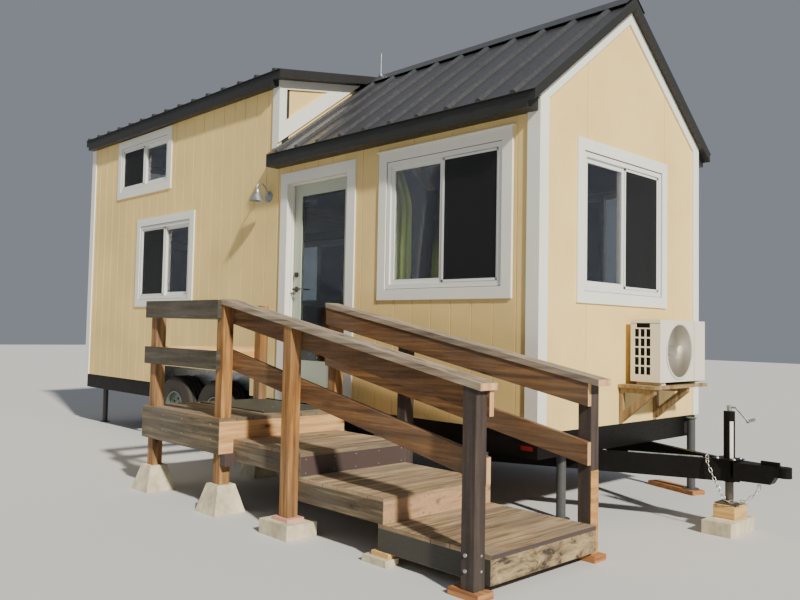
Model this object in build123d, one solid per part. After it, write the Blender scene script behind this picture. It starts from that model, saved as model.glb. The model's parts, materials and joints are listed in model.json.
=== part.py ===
from build123d import *
import math
import os

# Tiny house on a tandem-axle trailer, with timber entry steps. Millimetres.
# House frame: X runs from the rear wall (0) to the front wall, Y from the door
# side wall (0) to the far side wall, Z up from the ground. The whole model is
# moved at the end so that the origin is under the middle of its outline.

# Body
house_length = 7315
house_width = 2438
sill_height = 670
floor_thickness = 130
wall_thickness = 117
main_wall_height = 2250
loft_length = 4267
loft_rise = 820
loft_wall_height = main_wall_height + loft_rise
loft_floor_length = 3000
loft_floor_thickness = 120
loft_floor_height = main_wall_height - loft_floor_thickness

# Roofs
main_slope = 9 / 12
main_overhang = 150
main_fascia = 123
main_rafter_depth = 216
loft_slope = 2 / 12
loft_overhang = 95
loft_fascia = 135
loft_rafter_depth = 140
end_overhang = 65
dormer_overhang = 120
edge_depth = 82
sheet_thickness = 4
rib_height = 24
rib_spacing = 305
rib_base = 62
rib_top = 24
sheet_overhang = 18
ridge_gap = 5
ridge_cap_width = 150

# Trim boards
trim_thickness = 19
trim_width = 89
cheek_board_width = 140
drip_cap_reach = 32
drip_cap_height = 8

# Windows: the frames inside their casings
window_depth = 70
window_rail = 42
sash_stile = 38
sash_depth = 22
glass_thickness = 5
window_proud = 8
main_window_width = 1197
main_window_height = 1067
front_window_width = 1210
front_window_height = 1055
low_window_width = 1186
low_window_height = 906
loft_window_width = 1210
loft_window_height = 572
main_head = main_wall_height - 156
front_head = main_wall_height - 182
low_head = loft_floor_height - 227
loft_head = loft_wall_height - 102
main_window_from_front = 906
front_window_centre = 1162
low_window_centre = 2047
loft_window_centre = 1471

# Door
door_centre = 4884
door_opening = 899
door_thickness = 44
door_jamb = 17
door_gap = 5
door_stile = 118
door_bottom_rail = 235
door_stop = 12
door_glass_thickness = 24
threshold_height = 15
threshold_reach = 30
hinge_height = 90
hinge_plate = 3
hinge_setback = 8
knuckle_radius = 6.5
pin_radius = 3
pin_clearance = 0.4
handle_height = 930
handle_inset = 60
lever_length = 110

# Trailer
frame_depth = 178
channel_flange = 51
channel_web = 8
rail_inset = 335
side_rail_inset = 14
cross_spacing = 610
cross_depth = 102
tongue_depth = 152
tongue_width = 51
tongue_at_front = 803
tongue_slope = 0.4795
tongue_start = 6560
ball_from_front = 1161
coupler_length = 306
coupler_top = 487
coupler_bottom = 415
coupler_wing_bottom = 362
coupler_wing_end = 78
neck_half_width = 42
ball_socket_radius = 29.8
ball_socket_depth = 52
coupler_head_radius = 46

# Wheels and axles
tyre_radius = 385
tyre_width = 235
rim_radius = 205
rim_wall = 12
wheel_face = 60
rear_wheel_centre = 2269
axle_spacing = 860
axle_radius = 38
spindle_radius = 19
hub_radius = 46
hub_length = 130
disc_offset = 62
hand_hole_radius = 17
well_start = 1829
well_length = 2060
well_height = 215
well_sheet = 12
spring_half = 370
spring_width = 44
spring_leaf = 9
spring_rise = 34

# Tongue jack
jack_from_front = 794
jack_tube_radius = 38
jack_leg_radius = 28
jack_clearance = 1
jack_tube_top = 835
jack_tube_bottom = 335
jack_leg_length = 380
jack_foot = 150
plate_thickness = 8
crank_arm = 130
crank_drop = 92
crank_rod = 7
grip_radius = 12
crank_gap = 5

# Stabiliser legs and blocks
stabiliser_radius = 35
front_leg_x = 7189
front_leg_y = 500
front_far_leg_y = 2250
rear_leg_x = 40
rear_leg_y = 270
cap_block_length = 400
cap_block_width = 200
cap_block_height = 92
jack_timber_height = 89
plank_height = 38
pier_base = 267
pier_top = 152
pier_height = 203

# Steps and landing
board = 38
landing_start = 4400
landing_length = 1175
landing_height = 688
landing_front = 1438
landing_back = 219
landing_depth = 257
deck_thickness = 25
deck_board = 140
deck_gap = 5
step_run = 792
step_rise = 156
step_lap = 40
step_outer = 1311
step_inner = 300
door_board_start = landing_start + 75
door_board_length = 945
door_board_front = 930
door_board_back = landing_back + 51
door_board_thickness = 12
post = 89
post_x = [landing_start + board, 5448, 6265, 7824]
rail_board = 140
rail_top_start = 1565
rail_cap_slope = 0.19
rail_mid_start = 1186
rail_mid_slope = 0.196
level_mid_top = 1180
rail_end = 7928
outer_cap_reach = 17
inner_cap_reach = 75
cleat_length = 70
cleat_height = 90
paver_height = 38

# Air conditioner
ac_width = 768
ac_depth = 244
ac_height = 482
ac_start = 1177
ac_gap = 55
ac_sheet = 6
ac_shelf_height = 980
ac_feet = 25
ac_fan_centre = 1490
fan_radius = 190
fan_hub_radius = 45
fan_opening = 214
fan_shaft = 8
bracket_start = 1070
bracket_end = 1960
bracket_depth = 315
bracket_drop = 263
bracket_board = 38
brace_spacing = 548
louvre_width = 35
louvre_height = 61
louvre_gap = 12

# Small pieces
lamp_x = 4136
lamp_drop = 263
lamp_reach = 150
lamp_shade_radius = 76
curtain_start = 5595
curtain_width = 330
curtain_height = 1330
curtain_wave = 16
rod_radius = 9
mast_height = 240
mast_radius = 9
chain_radius = 8
seat_gap = 0.3

centre_y = house_width / 2
wall_top = sill_height + main_wall_height
loft_wall_top = sill_height + loft_wall_height
floor_top = sill_height + floor_thickness
frame_bottom = sill_height - frame_depth
main_sheet_lift = (rib_height + sheet_thickness) * math.sqrt(1 + main_slope ** 2)
loft_sheet_lift = (rib_height + sheet_thickness) * math.sqrt(1 + loft_slope ** 2)
far_plane = Plane.XZ.offset(-centre_y)


def block(x0, x1, y0, y1, z0, z1):
    """A box between two corners."""
    size = Box(x1 - x0, y1 - y0, z1 - z0)
    return Pos((x0 + x1) / 2, (y0 + y1) / 2, (z0 + z1) / 2) * size


def along_x(points, x0, x1):
    """A prism along X with an outline given in Y and Z."""
    face = Plane.YZ.offset(x0) * make_face(Polyline(*points, close=True))
    return extrude(face, amount=x1 - x0, dir=(1, 0, 0))


def along_y(points, y0, y1):
    """A prism along Y with an outline given in X and Z."""
    face = Plane.XZ.offset(-y0) * make_face(Polyline(*points, close=True))
    return extrude(face, amount=y1 - y0, dir=(0, 1, 0))


def along_z(points, z0, z1):
    """A prism along Z with an outline given in X and Y."""
    face = Plane.XY.offset(z0) * make_face(Polyline(*points, close=True))
    return extrude(face, amount=z1 - z0, dir=(0, 0, 1))


def rod(start, end, radius):
    """A round bar between two points."""
    line = Vector(*end) - Vector(*start)
    place = Plane(origin=start, z_dir=line)
    return extrude(place * Circle(radius), amount=line.length)


def wire_rod(points, radius):
    """A round wire that follows a smooth curve through some points."""
    path = Spline(*points)
    place = Plane(origin=points[0], z_dir=path % 0)
    return sweep(place * Circle(radius), path=path)


def both_sides(shape):
    """The shape and its mirror image on the other side of the house."""
    return [shape, mirror(shape, about=far_plane)]


def main_top(y):
    """Height of the main roof deck at a distance y from the door side wall."""
    run = min(y, house_width - y) + main_overhang
    return wall_top + main_fascia + main_slope * run


def loft_top(y):
    """Height of the loft roof deck at a distance y from the door side wall."""
    run = min(y, house_width - y) + loft_overhang
    return loft_wall_top + loft_fascia + loft_slope * run


def mirrored_outline(near):
    """A closed outline from its door side half, which ends on the ridge line."""
    return near + [(house_width - y, z) for y, z in reversed(near)]


def roof_outline(top, bottom, depth, reach):
    """Section of a roof that sits flat on its walls, with a boxed eave."""
    inner = wall_thickness
    lower = [(-reach, bottom), (inner, bottom), (inner, top(inner) - depth)]
    far = [(house_width - y, z) for y, z in reversed(lower)]
    upper = [
        (house_width + reach, top(-reach)),
        (centre_y, top(centre_y)),
        (-reach, top(-reach)),
    ]
    return lower + [(centre_y, top(centre_y) - depth)] + far + upper


def band_outline(top, reach, start, depth):
    """A gable-shaped band that follows the roof, from a level below it down."""
    points = [(-reach, top(-reach)), (centre_y, top(centre_y)), (house_width + reach, top(-reach))]
    upper = [(y, z - start) for y, z in points]
    lower = [(y, z - start - depth) for y, z in reversed(points)]
    return upper + lower


def end_outline(top, depth, bottom):
    """Outline of a gable wall between the side walls, up to the rafters."""
    near = wall_thickness
    far = house_width - wall_thickness
    eave = top(near) - depth
    ridge = top(centre_y) - depth
    return [(near, bottom), (far, bottom), (far, eave), (centre_y, ridge), (near, eave)]


# Windows: wall, centre along it, head height, width and height
main_window_x = house_length - main_window_from_front
windows = []
for side in ("near", "far"):
    windows.append((side, main_window_x, main_head, main_window_width, main_window_height))
    windows.append((side, low_window_centre, low_head, low_window_width, low_window_height))
    windows.append((side, loft_window_centre, loft_head, loft_window_width, loft_window_height))
windows.append(("front", front_window_centre, front_head, front_window_width, front_window_height))
windows.append(("rear", centre_y, low_head, low_window_width, low_window_height))
windows.append(("rear", centre_y, loft_head, loft_window_width, loft_window_height))


def on_wall(side, centre):
    """Placement of a shape drawn in X and Z with -Y outward, on one of the walls."""
    if side == "near":
        return Pos(centre, 0, sill_height)
    if side == "far":
        return Pos(centre, house_width, sill_height) * Rot(0, 0, 180)
    if side == "front":
        return Pos(house_length, centre, sill_height) * Rot(0, 0, 90)
    return Pos(0, centre, sill_height) * Rot(0, 0, -90)


def window_hole(side, centre, head, width, height):
    """The cut that a window needs through its wall."""
    reach = wall_thickness * 2
    hole = block(-width / 2, width / 2, -reach, reach, head - height, head)
    return on_wall(side, centre) * hole


def frame_ring(width, height, head, rail, y0, y1):
    """A rectangular ring in the wall plane, centred on X, with its top at head."""
    outer = block(-width / 2, width / 2, y0, y1, head - height, head)
    half = width / 2 - rail
    inner = block(-half, half, y0 - 1, y1 + 1, head - height + rail, head - rail)
    return outer - inner


def window_casing(side, centre, head, width, height):
    """Flat casing boards round a window, with a drip cap over the large ones."""
    outer_width = width + 2 * trim_width
    outer_height = height + 2 * trim_width
    top = head + trim_width
    casing = frame_ring(outer_width, outer_height, top, trim_width, -trim_thickness, 0)
    if height == main_window_height:
        half = outer_width / 2 + trim_thickness
        casing += block(-half, half, -drip_cap_reach, 0, top, top + drip_cap_height)
    return on_wall(side, centre) * casing


def window_frame(side, centre, head, width, height):
    """Sliding window frame: outer frame, sash rails and the meeting stile."""
    outer = frame_ring(width, height, head, window_rail, -window_proud, window_depth - window_proud)
    inner_height = height - 2 * window_rail
    inner_width = width / 2 - window_rail + sash_stile / 2
    head_in = head - window_rail
    sash = frame_ring(inner_width, inner_height, head_in, sash_stile, 0, sash_depth)
    shift = inner_width / 2 - sash_stile / 2
    left = Pos(-shift, window_proud, 0) * sash
    right = Pos(shift, window_proud + sash_depth, 0) * sash
    return on_wall(side, centre) * (outer + left + right)


def window_glass(side, centre, head, width, height):
    """The two panes of a sliding window, one in each sash."""
    pane_width = width / 2 - window_rail - sash_stile * 1.5
    top = head - window_rail - sash_stile
    bottom = head - height + window_rail + sash_stile
    shift = (pane_width + sash_stile) / 2
    first = window_proud + (sash_depth - glass_thickness) / 2
    panes = []
    for x, y in ((-shift, first), (shift, first + sash_depth)):
        half = pane_width / 2
        pane = block(x - half, x + half, y, y + glass_thickness, bottom, top)
        panes.append(on_wall(side, centre) * pane)
    return panes


nodes = {}


def add(name, shapes):
    """Record one node, from one shape or a list of separate solids."""
    if not isinstance(shapes, list):
        shapes = [shapes]
    solids = [solid for shape in shapes for solid in shape.solids()]
    nodes[name] = solids[0] if len(solids) == 1 else Compound(solids)


# Walls
door_left = door_centre - door_opening / 2
door_right = door_centre + door_opening / 2
door_head = sill_height + main_head
well_end = well_start + well_length
well_top = sill_height + well_height
wheel_notch = block(well_start, well_end, -post, wall_thickness * 2, sill_height - 1, well_top)


def side_wall(x0, x1):
    """A length of the door side wall, taller behind the loft front."""
    wall = block(x0, x1, 0, wall_thickness, sill_height, wall_top)
    if x0 < loft_length:
        wall += block(x0, min(x1, loft_length), 0, wall_thickness, wall_top, loft_wall_top)
    return wall


rear_part = side_wall(0, door_left) - wheel_notch
front_part = side_wall(door_right, house_length)
header = block(door_left, door_right, 0, wall_thickness, door_head, wall_top)
far_part = mirror(side_wall(0, house_length) - wheel_notch, about=far_plane)
front_outline = end_outline(main_top, main_rafter_depth, sill_height)
front_end = along_x(front_outline, house_length - wall_thickness, house_length)
rear_outline = end_outline(loft_top, loft_rafter_depth, sill_height)
rear_end = along_x(rear_outline, 0, wall_thickness)
for window in windows:
    hole = window_hole(*window)
    if window[0] == "near" and window[1] < door_left:
        rear_part -= hole
    elif window[0] == "near":
        front_part -= hole
    elif window[0] == "far":
        far_part -= hole
    elif window[0] == "front":
        front_end -= hole
    else:
        rear_end -= hole
add("door_side_wall_rear", rear_part)
add("door_side_wall_front", front_part)
add("door_header", header)
add("far_side_wall", far_part)
add("front_wall", front_end)
add("rear_wall", rear_end)

near_in = wall_thickness
far_in = house_width - wall_thickness
cheek_low = main_top(near_in) - main_rafter_depth
cheek_high = loft_top(near_in) - loft_rafter_depth
loft_front = along_x([
    (near_in, cheek_low),
    (centre_y, main_top(centre_y) - main_rafter_depth),
    (far_in, cheek_low),
    (far_in, cheek_high),
    (centre_y, loft_top(centre_y) - loft_rafter_depth),
    (near_in, cheek_high),
], loft_length - wall_thickness, loft_length)
add("loft_front_wall", loft_front)

# Floors and wheel wells
floor = block(near_in, house_length - near_in, near_in, far_in, sill_height, floor_top)
well_inner = rail_inset - well_sheet
well_cut = block(well_start, well_end, 0, well_inner, sill_height - 1, floor_top + 1)
for cut in both_sides(well_cut):
    floor -= cut
add("floor", floor)
well_box = block(well_start, well_end, near_in, well_inner, sill_height, well_top)
well_cavity = block(
    well_start + well_sheet, well_end - well_sheet,
    0, well_inner - well_sheet,
    sill_height - 1, well_top - well_sheet,
)
add("wheel_wells", both_sides(well_box - well_cavity))
loft_floor_top = sill_height + loft_floor_height
loft_floor_bottom = loft_floor_top - loft_floor_thickness
add("loft_floor", block(
    near_in, near_in + loft_floor_length, near_in, far_in, loft_floor_bottom, loft_floor_top
))

# Roofs
main_section = roof_outline(main_top, wall_top, main_rafter_depth, main_overhang)
main_roof = along_x(main_section, loft_length, house_length)
main_edge = band_outline(main_top, main_overhang, 0, edge_depth)
main_roof += along_x(main_edge, house_length, house_length + end_overhang)
loft_section = roof_outline(loft_top, loft_wall_top, loft_rafter_depth, loft_overhang)
loft_roof = along_x(loft_section, 0, loft_length)
loft_edge = band_outline(loft_top, loft_overhang, 0, edge_depth)
loft_roof += along_x(loft_edge, -end_overhang, 0)
dormer_end = loft_length + dormer_overhang
over_main = [
    (-main_overhang, main_top(-main_overhang) + main_sheet_lift + seat_gap),
    (centre_y, main_top(centre_y) + main_sheet_lift + seat_gap),
    (house_width + main_overhang, main_top(-main_overhang) + main_sheet_lift + seat_gap),
    (centre_y, sill_height),
]
below_main = along_x(over_main, loft_length, dormer_end + dormer_overhang)
loft_roof += along_x(loft_edge, loft_length, dormer_end) - below_main
add("main_roof", main_roof)
add("loft_roof", loft_roof)


def ribbed_sheet(top, pitch, overhang, x0, x1):
    """Door side roof sheet with raised ribs, laid from the eave to the ridge."""
    start = -(overhang + sheet_overhang)
    slope = Vector(0, centre_y - start, pitch * (centre_y - start))
    eave = top(-overhang) - pitch * sheet_overhang
    place = Plane(origin=(x0, start, eave), x_dir=(1, 0, 0), z_dir=-slope)
    width = x1 - x0
    count = int((width - rib_base) // rib_spacing) + 1
    margin = (width - (count - 1) * rib_spacing) / 2
    upper = sheet_thickness + rib_height
    outline = [(0, 0), (0, sheet_thickness)]
    for i in range(count):
        middle = margin + i * rib_spacing
        outline.append((middle - rib_base / 2, sheet_thickness))
        outline.append((middle - rib_top / 2, upper))
        outline.append((middle + rib_top / 2, upper))
        outline.append((middle + rib_base / 2, sheet_thickness))
    outline.append((width, sheet_thickness))
    outline.append((width, 0))
    face = place * make_face(Polyline(*outline, close=True))
    return extrude(face, amount=slope.length - ridge_gap, dir=slope.normalized())


main_sheet_start = loft_length + trim_thickness + 3
main_sheet_end = house_length + end_overhang
main_sheet = ribbed_sheet(main_top, main_slope, main_overhang, main_sheet_start, main_sheet_end)
loft_sheet = ribbed_sheet(loft_top, loft_slope, loft_overhang, -end_overhang, dormer_end)
add("roof_sheets", both_sides(main_sheet) + both_sides(loft_sheet - below_main))


def ridge_cap(top, lift, x0, x1):
    """Folded strip over the ribs along a ridge."""
    edge = centre_y - ridge_cap_width
    far_edge = house_width - edge
    upper = sheet_thickness
    return along_x([
        (edge, top(edge) + lift),
        (centre_y, top(centre_y) + lift),
        (far_edge, top(edge) + lift),
        (far_edge, top(edge) + lift + upper),
        (centre_y, top(centre_y) + lift + upper),
        (edge, top(edge) + lift + upper),
    ], x0, x1)


add("ridge_caps", [
    ridge_cap(main_top, main_sheet_lift, dormer_end + ridge_gap, main_sheet_end),
    ridge_cap(loft_top, loft_sheet_lift, -end_overhang, loft_length),
])

# Corner boards, rake boards and the trimmed loft front
main_drop = trim_width * math.sqrt(1 + main_slope ** 2)
loft_drop = trim_width * math.sqrt(1 + loft_slope ** 2)


def corner(top, drop, side_top, x0, x1, side_x0, side_x1):
    """Boards on both faces of one door side corner, joined along the corner."""
    edge = -trim_thickness
    end = along_x([
        (edge, sill_height),
        (trim_width, sill_height),
        (trim_width, top(trim_width) - edge_depth - drop),
        (edge, top(edge) - edge_depth - drop),
    ], x0, x1)
    return end + block(side_x0, side_x1, edge, 0, sill_height, side_top)


front_corner = corner(
    main_top, main_drop, wall_top,
    house_length, house_length + trim_thickness,
    house_length - trim_width, house_length,
)
rear_corner = corner(
    loft_top, loft_drop, loft_wall_top,
    -trim_thickness, 0,
    0, trim_width,
)
add("corner_boards", both_sides(front_corner) + both_sides(rear_corner))

front_rake = band_outline(main_top, trim_thickness, edge_depth, main_drop)
rear_rake = band_outline(loft_top, trim_thickness, edge_depth, loft_drop)
trim = [
    along_x(front_rake, house_length, house_length + trim_thickness),
    along_x(rear_rake, -trim_thickness, 0),
]
sheet_line = main_top(0) + main_sheet_lift + 3
edge_line = loft_top(0) - edge_depth


def crossing(lower, upper):
    """Where the rising sheet line and the loft edge line meet, in Y and Z."""
    y = (upper - lower) / (main_slope - loft_slope)
    return (y, lower + main_slope * y)


def at(line, pitch, y):
    """Point on a sloping line at a distance y from the door side wall."""
    return (y, line + pitch * y)


board_low = sheet_line + cheek_board_width * math.sqrt(1 + main_slope ** 2)
board_high = edge_line - loft_drop
cheek_edge = -trim_thickness
cheek_hole_edge = trim_width - trim_thickness
cheek_outer = [
    at(sheet_line, main_slope, cheek_edge),
    crossing(sheet_line, edge_line),
    at(edge_line, loft_slope, cheek_edge),
]
cheek_inner = [
    at(board_low, main_slope, cheek_hole_edge),
    crossing(board_low, board_high),
    at(board_high, loft_slope, cheek_hole_edge),
]
cheek = along_x(cheek_outer, loft_length, loft_length + trim_thickness)
cheek -= along_x(cheek_inner, loft_length - 1, loft_length + trim_thickness + 1)
cheek += block(loft_length - trim_width, loft_length, cheek_edge, 0, sheet_line - 60, loft_wall_top)
add("gable_trim", trim + both_sides(cheek))

casings = [window_casing(*window) for window in windows]
add("window_casings", casings)
add("window_frames", [window_frame(*window) for window in windows])
add("window_glass", [pane for window in windows for pane in window_glass(*window)])

# Door frame with its casing, sill, threshold, stops and hinge halves
jamb_left = door_left + door_jamb
jamb_right = door_right - door_jamb
jamb_head = door_head - door_jamb
threshold_top = floor_top + threshold_height
door_face = wall_thickness - door_thickness
stop_face = door_face - door_gap
frame = block(door_left, door_right, 0, wall_thickness, sill_height, door_head)
frame -= block(jamb_left, jamb_right, -1, wall_thickness + 1, threshold_top, jamb_head)
frame += block(
    door_left - trim_width, door_right + trim_width,
    -trim_thickness, 0, sill_height, door_head + trim_width,
)
frame -= block(jamb_left, jamb_right, -trim_width, 1, threshold_top, jamb_head)
frame -= block(jamb_left, jamb_right, -trim_width, 0, sill_height - 1, floor_top)
frame += block(jamb_left, jamb_right, -threshold_reach, 0, floor_top, threshold_top)
stops = block(jamb_left, jamb_right, stop_face - 28, stop_face, threshold_top, jamb_head)
stops -= block(
    jamb_left + door_stop, jamb_right - door_stop,
    0, wall_thickness, threshold_top, jamb_head - door_stop,
)
frame += stops
hinge_x = jamb_right - door_gap / 2
hinge_y = wall_thickness + hinge_setback
leaf_bottom = threshold_top + door_gap
leaf_top = jamb_head - door_gap
leaf_left = jamb_left + door_gap
leaf_right = jamb_right - door_gap
leaf = block(leaf_left, leaf_right, door_face, wall_thickness, leaf_bottom, leaf_top)
lite = block(
    leaf_left + door_stile, leaf_right - door_stile,
    0, wall_thickness * 2,
    leaf_bottom + door_bottom_rail, leaf_top - door_stile,
)
leaf -= lite
third = hinge_height / 3
leaf_height = leaf_top - leaf_bottom
for hinge_z in (leaf_bottom + 200, leaf_bottom + leaf_height / 2, leaf_top - 200 - hinge_height):
    bottom = (hinge_x, hinge_y, hinge_z)
    top = (hinge_x, hinge_y, hinge_z + hinge_height)
    frame += rod(bottom, top, pin_radius)
    for z in (hinge_z, hinge_z + 2 * third):
        frame += rod((hinge_x, hinge_y, z), (hinge_x, hinge_y, z + third), knuckle_radius)
        frame += block(
            hinge_x + 1, door_right, wall_thickness, wall_thickness + hinge_plate, z, z + third
        )
    low = hinge_z + third + pin_clearance
    high = hinge_z + 2 * third - pin_clearance
    leaf += rod((hinge_x, hinge_y, low), (hinge_x, hinge_y, high), knuckle_radius)
    leaf += block(
        hinge_x - 38, hinge_x, wall_thickness, wall_thickness + hinge_plate, low, high
    )
    leaf -= rod(bottom, top, pin_radius + pin_clearance)
add("door_frame", frame)
add("door_leaf", leaf)
glass_start = door_face + (door_thickness - door_glass_thickness) / 2
add("door_glass", block(
    leaf_left + door_stile, leaf_right - door_stile,
    glass_start, glass_start + door_glass_thickness,
    leaf_bottom + door_bottom_rail, leaf_top - door_stile,
))

# Lever handles and deadbolt on both faces of the door
handle_x = leaf_left + handle_inset
handle_z = floor_top + handle_height
deadbolt_z = handle_z + 140


def lever(face, out):
    """A rose with a lever that points to the hinge side, on a face of the door."""
    rose = rod((handle_x, face, handle_z), (handle_x, face + out * 9, handle_z), 27)
    neck = rod((handle_x, face, handle_z), (handle_x, face + out * 48, handle_z), 9)
    arm = rod(
        (handle_x, face + out * 40, handle_z),
        (handle_x + lever_length, face + out * 40, handle_z), 7,
    )
    return rose + neck + arm


bolt_outside = rod((handle_x, door_face, deadbolt_z), (handle_x, door_face - 16, deadbolt_z), 25)
inside = wall_thickness
bolt_inside = rod((handle_x, inside, deadbolt_z), (handle_x, inside + 9, deadbolt_z), 25)
bolt_inside += block(
    handle_x - 4, handle_x + 4, inside, inside + 26, deadbolt_z - 18, deadbolt_z + 18
)
add("door_handles", [lever(door_face, -1), lever(inside, 1), bolt_outside, bolt_inside])

# Trailer frame


def channel(x0, x1, y_web, out):
    """A channel along X with its web at y_web and flanges that point out."""
    tip = y_web + out * channel_flange
    inner = y_web + out * channel_web
    return along_x([
        (y_web, frame_bottom),
        (tip, frame_bottom),
        (tip, frame_bottom + channel_web),
        (inner, frame_bottom + channel_web),
        (inner, sill_height - channel_web),
        (tip, sill_height - channel_web),
        (tip, sill_height),
        (y_web, sill_height),
    ], x0, x1)


def cross_member(x, y0, y1, depth):
    """A channel across the trailer, with its web at x and flanges to the rear."""
    bottom = sill_height - depth
    tip = x - channel_flange
    inner = x - channel_web
    return along_y([
        (x, bottom),
        (tip, bottom),
        (tip, bottom + channel_web),
        (inner, bottom + channel_web),
        (inner, sill_height - channel_web),
        (tip, sill_height - channel_web),
        (tip, sill_height),
        (x, sill_height),
    ], y0, y1)


side_web = side_rail_inset
main_web = rail_inset + channel_flange
trailer = cross_member(house_length, side_web, house_width - side_web, frame_depth)
trailer += cross_member(channel_flange, side_web, house_width - side_web, frame_depth)
for rail in both_sides(channel(0, house_length, main_web, -1)):
    trailer += rail
for rail in both_sides(channel(0, well_start, side_web, 1)):
    trailer += rail
for rail in both_sides(channel(well_end, house_length, side_web, 1)):
    trailer += rail
cross_count = int((front_leg_x - channel_flange) // cross_spacing)
for i in range(cross_count):
    x = front_leg_x + channel_flange / 2 - i * cross_spacing
    beside_well = well_start - channel_flange < x < well_end + channel_flange
    edge = rail_inset if beside_well else side_web
    depth = frame_depth if i == 0 else cross_depth
    trailer += cross_member(x, edge, house_width - edge, depth)
spring_y = rail_inset + channel_flange / 2
front_wheel_centre = rear_wheel_centre + axle_spacing
hanger_bottom = frame_bottom - 46
hangers = [
    (rear_wheel_centre - spring_half - board, rear_wheel_centre - spring_half),
    (rear_wheel_centre + spring_half, front_wheel_centre - spring_half),
    (front_wheel_centre + spring_half, front_wheel_centre + spring_half + board),
]
for x0, x1 in hangers:
    hanger = block(
        x0, x1, spring_y - spring_width / 2, spring_y + spring_width / 2,
        hanger_bottom, frame_bottom,
    )
    for part in both_sides(hanger):
        trailer += part
add("trailer_frame", trailer)

# Leaf springs between the hangers, and the axles under them
spring_top = frame_bottom - 4


def leaf_points(start, end, drop):
    """Offsets from the axle and heights along a sagging leaf, between two offsets."""
    points = []
    for i in range(5):
        x = start + (end - start) * i / 4
        sag = spring_rise * (1 - (x / spring_half) ** 2)
        points.append((x, spring_top - sag - drop))
    return points


def spring(centre):
    """Three stacked leaves with their lowest point over the axle."""
    middle = spring_half * 0.72
    short = spring_half * 0.42
    half = leaf_points(spring_half, middle, spring_leaf)
    half += leaf_points(middle, short, 2 * spring_leaf)
    half += leaf_points(short, 0, 3 * spring_leaf)
    lower = half + [(-x, z) for x, z in reversed(half[:-1])]
    upper = leaf_points(-spring_half, 0, 0) + leaf_points(0, spring_half, 0)[1:]
    y0 = spring_y - spring_width / 2
    return along_y([(centre + x, z) for x, z in upper + lower], y0, y0 + spring_width)


springs = []
axles = []
seat_top = spring_top - spring_rise - 3 * spring_leaf
hub_end = wheel_face + hub_length
for centre in (rear_wheel_centre, front_wheel_centre):
    springs += both_sides(spring(centre))
    beam_start = hub_end + door_gap
    axle = rod(
        (centre, beam_start, tyre_radius), (centre, house_width - beam_start, tyre_radius),
        axle_radius,
    )
    spindle_start = wheel_face + disc_offset
    axle += rod(
        (centre, spindle_start, tyre_radius),
        (centre, house_width - spindle_start, tyre_radius), spindle_radius,
    )
    seat = block(
        centre - 24, centre + 24, spring_y - spring_width / 2, spring_y + spring_width / 2,
        tyre_radius, seat_top,
    )
    for part in both_sides(seat):
        axle += part
    axles.append(axle)
add("leaf_springs", springs)
add("axles", axles)

# Wheels: profiles are given as radius and distance from the outer face
shoulder = 35
tyre_profile = [
    (rim_radius, 16),
    (rim_radius, tyre_width - 16),
    (rim_radius + 45, tyre_width),
    (tyre_radius - 50, tyre_width),
    (tyre_radius - 12, tyre_width - shoulder + 8),
    (tyre_radius, tyre_width - shoulder - 12),
    (tyre_radius, shoulder + 12),
    (tyre_radius - 12, shoulder - 8),
    (tyre_radius - 50, 0),
    (rim_radius + 45, 0),
]
rim_profile = [
    (rim_radius, 12),
    (rim_radius, tyre_width - 12),
    (rim_radius - rim_wall, tyre_width - 12),
    (rim_radius - rim_wall, disc_offset + rim_wall),
    (hub_radius, disc_offset + rim_wall),
    (hub_radius, hub_length),
    (spindle_radius + pin_clearance, hub_length),
    (spindle_radius + pin_clearance, disc_offset - door_gap),
    (0, disc_offset - door_gap),
    (0, 26),
    (hub_radius - 12, 26),
    (hub_radius, 36),
    (hub_radius, disc_offset),
    (rim_radius - rim_wall, disc_offset),
    (rim_radius - rim_wall, 12),
]


def turned(profile):
    """A ring turned about the Y axis from radius and width points."""
    face = Plane.XY * make_face(Polyline(*profile, close=True))
    return revolve(face, axis=Axis.Y, revolution_arc=360)


tyre = turned(tyre_profile)
rim = turned(rim_profile)
hole_circle = (rim_radius - rim_wall + hub_radius) / 2
for i in range(8):
    angle = math.radians(i * 45)
    x = hole_circle * math.cos(angle)
    z = hole_circle * math.sin(angle)
    rim -= rod((x, disc_offset - 10, z), (x, disc_offset + rim_wall + 10, z), hand_hole_radius)
for position, centre in (("rear", rear_wheel_centre), ("front", front_wheel_centre)):
    place = Pos(centre, wheel_face, tyre_radius)
    far_place = Pos(centre, house_width - wheel_face, tyre_radius) * Rot(0, 0, 180)
    add("tyre_near_" + position, place * tyre)
    add("rim_near_" + position, place * rim)
    add("tyre_far_" + position, far_place * tyre)
    add("rim_far_" + position, far_place * rim)

# Tongue: two beams that meet at the coupler, with a plate for the jack
jack_x = house_length + jack_from_front
ball_x = house_length + ball_from_front
tongue_bottom = frame_bottom - tongue_depth
skew = math.sqrt(1 + tongue_slope ** 2)
beam_y = tongue_width * skew
meet_x = house_length + (centre_y - tongue_at_front) / tongue_slope
back_y = tongue_at_front - tongue_slope * (house_length - tongue_start)
inner_meet = meet_x - beam_y / tongue_slope
beam = along_z([
    (tongue_start, back_y),
    (meet_x, centre_y),
    (inner_meet, centre_y),
    (tongue_start, back_y + beam_y),
], tongue_bottom, frame_bottom)
tongue = beam + mirror(beam, about=far_plane)
jack_plate = block(
    jack_x - 95, jack_x + 75, centre_y - 80, centre_y + 80,
    frame_bottom, frame_bottom + plate_thickness,
)
tongue += jack_plate
jack_hole = rod((jack_x, centre_y, 0), (jack_x, centre_y, sill_height), jack_tube_radius)
tongue -= jack_hole
neck_start = ball_x - coupler_length
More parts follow.
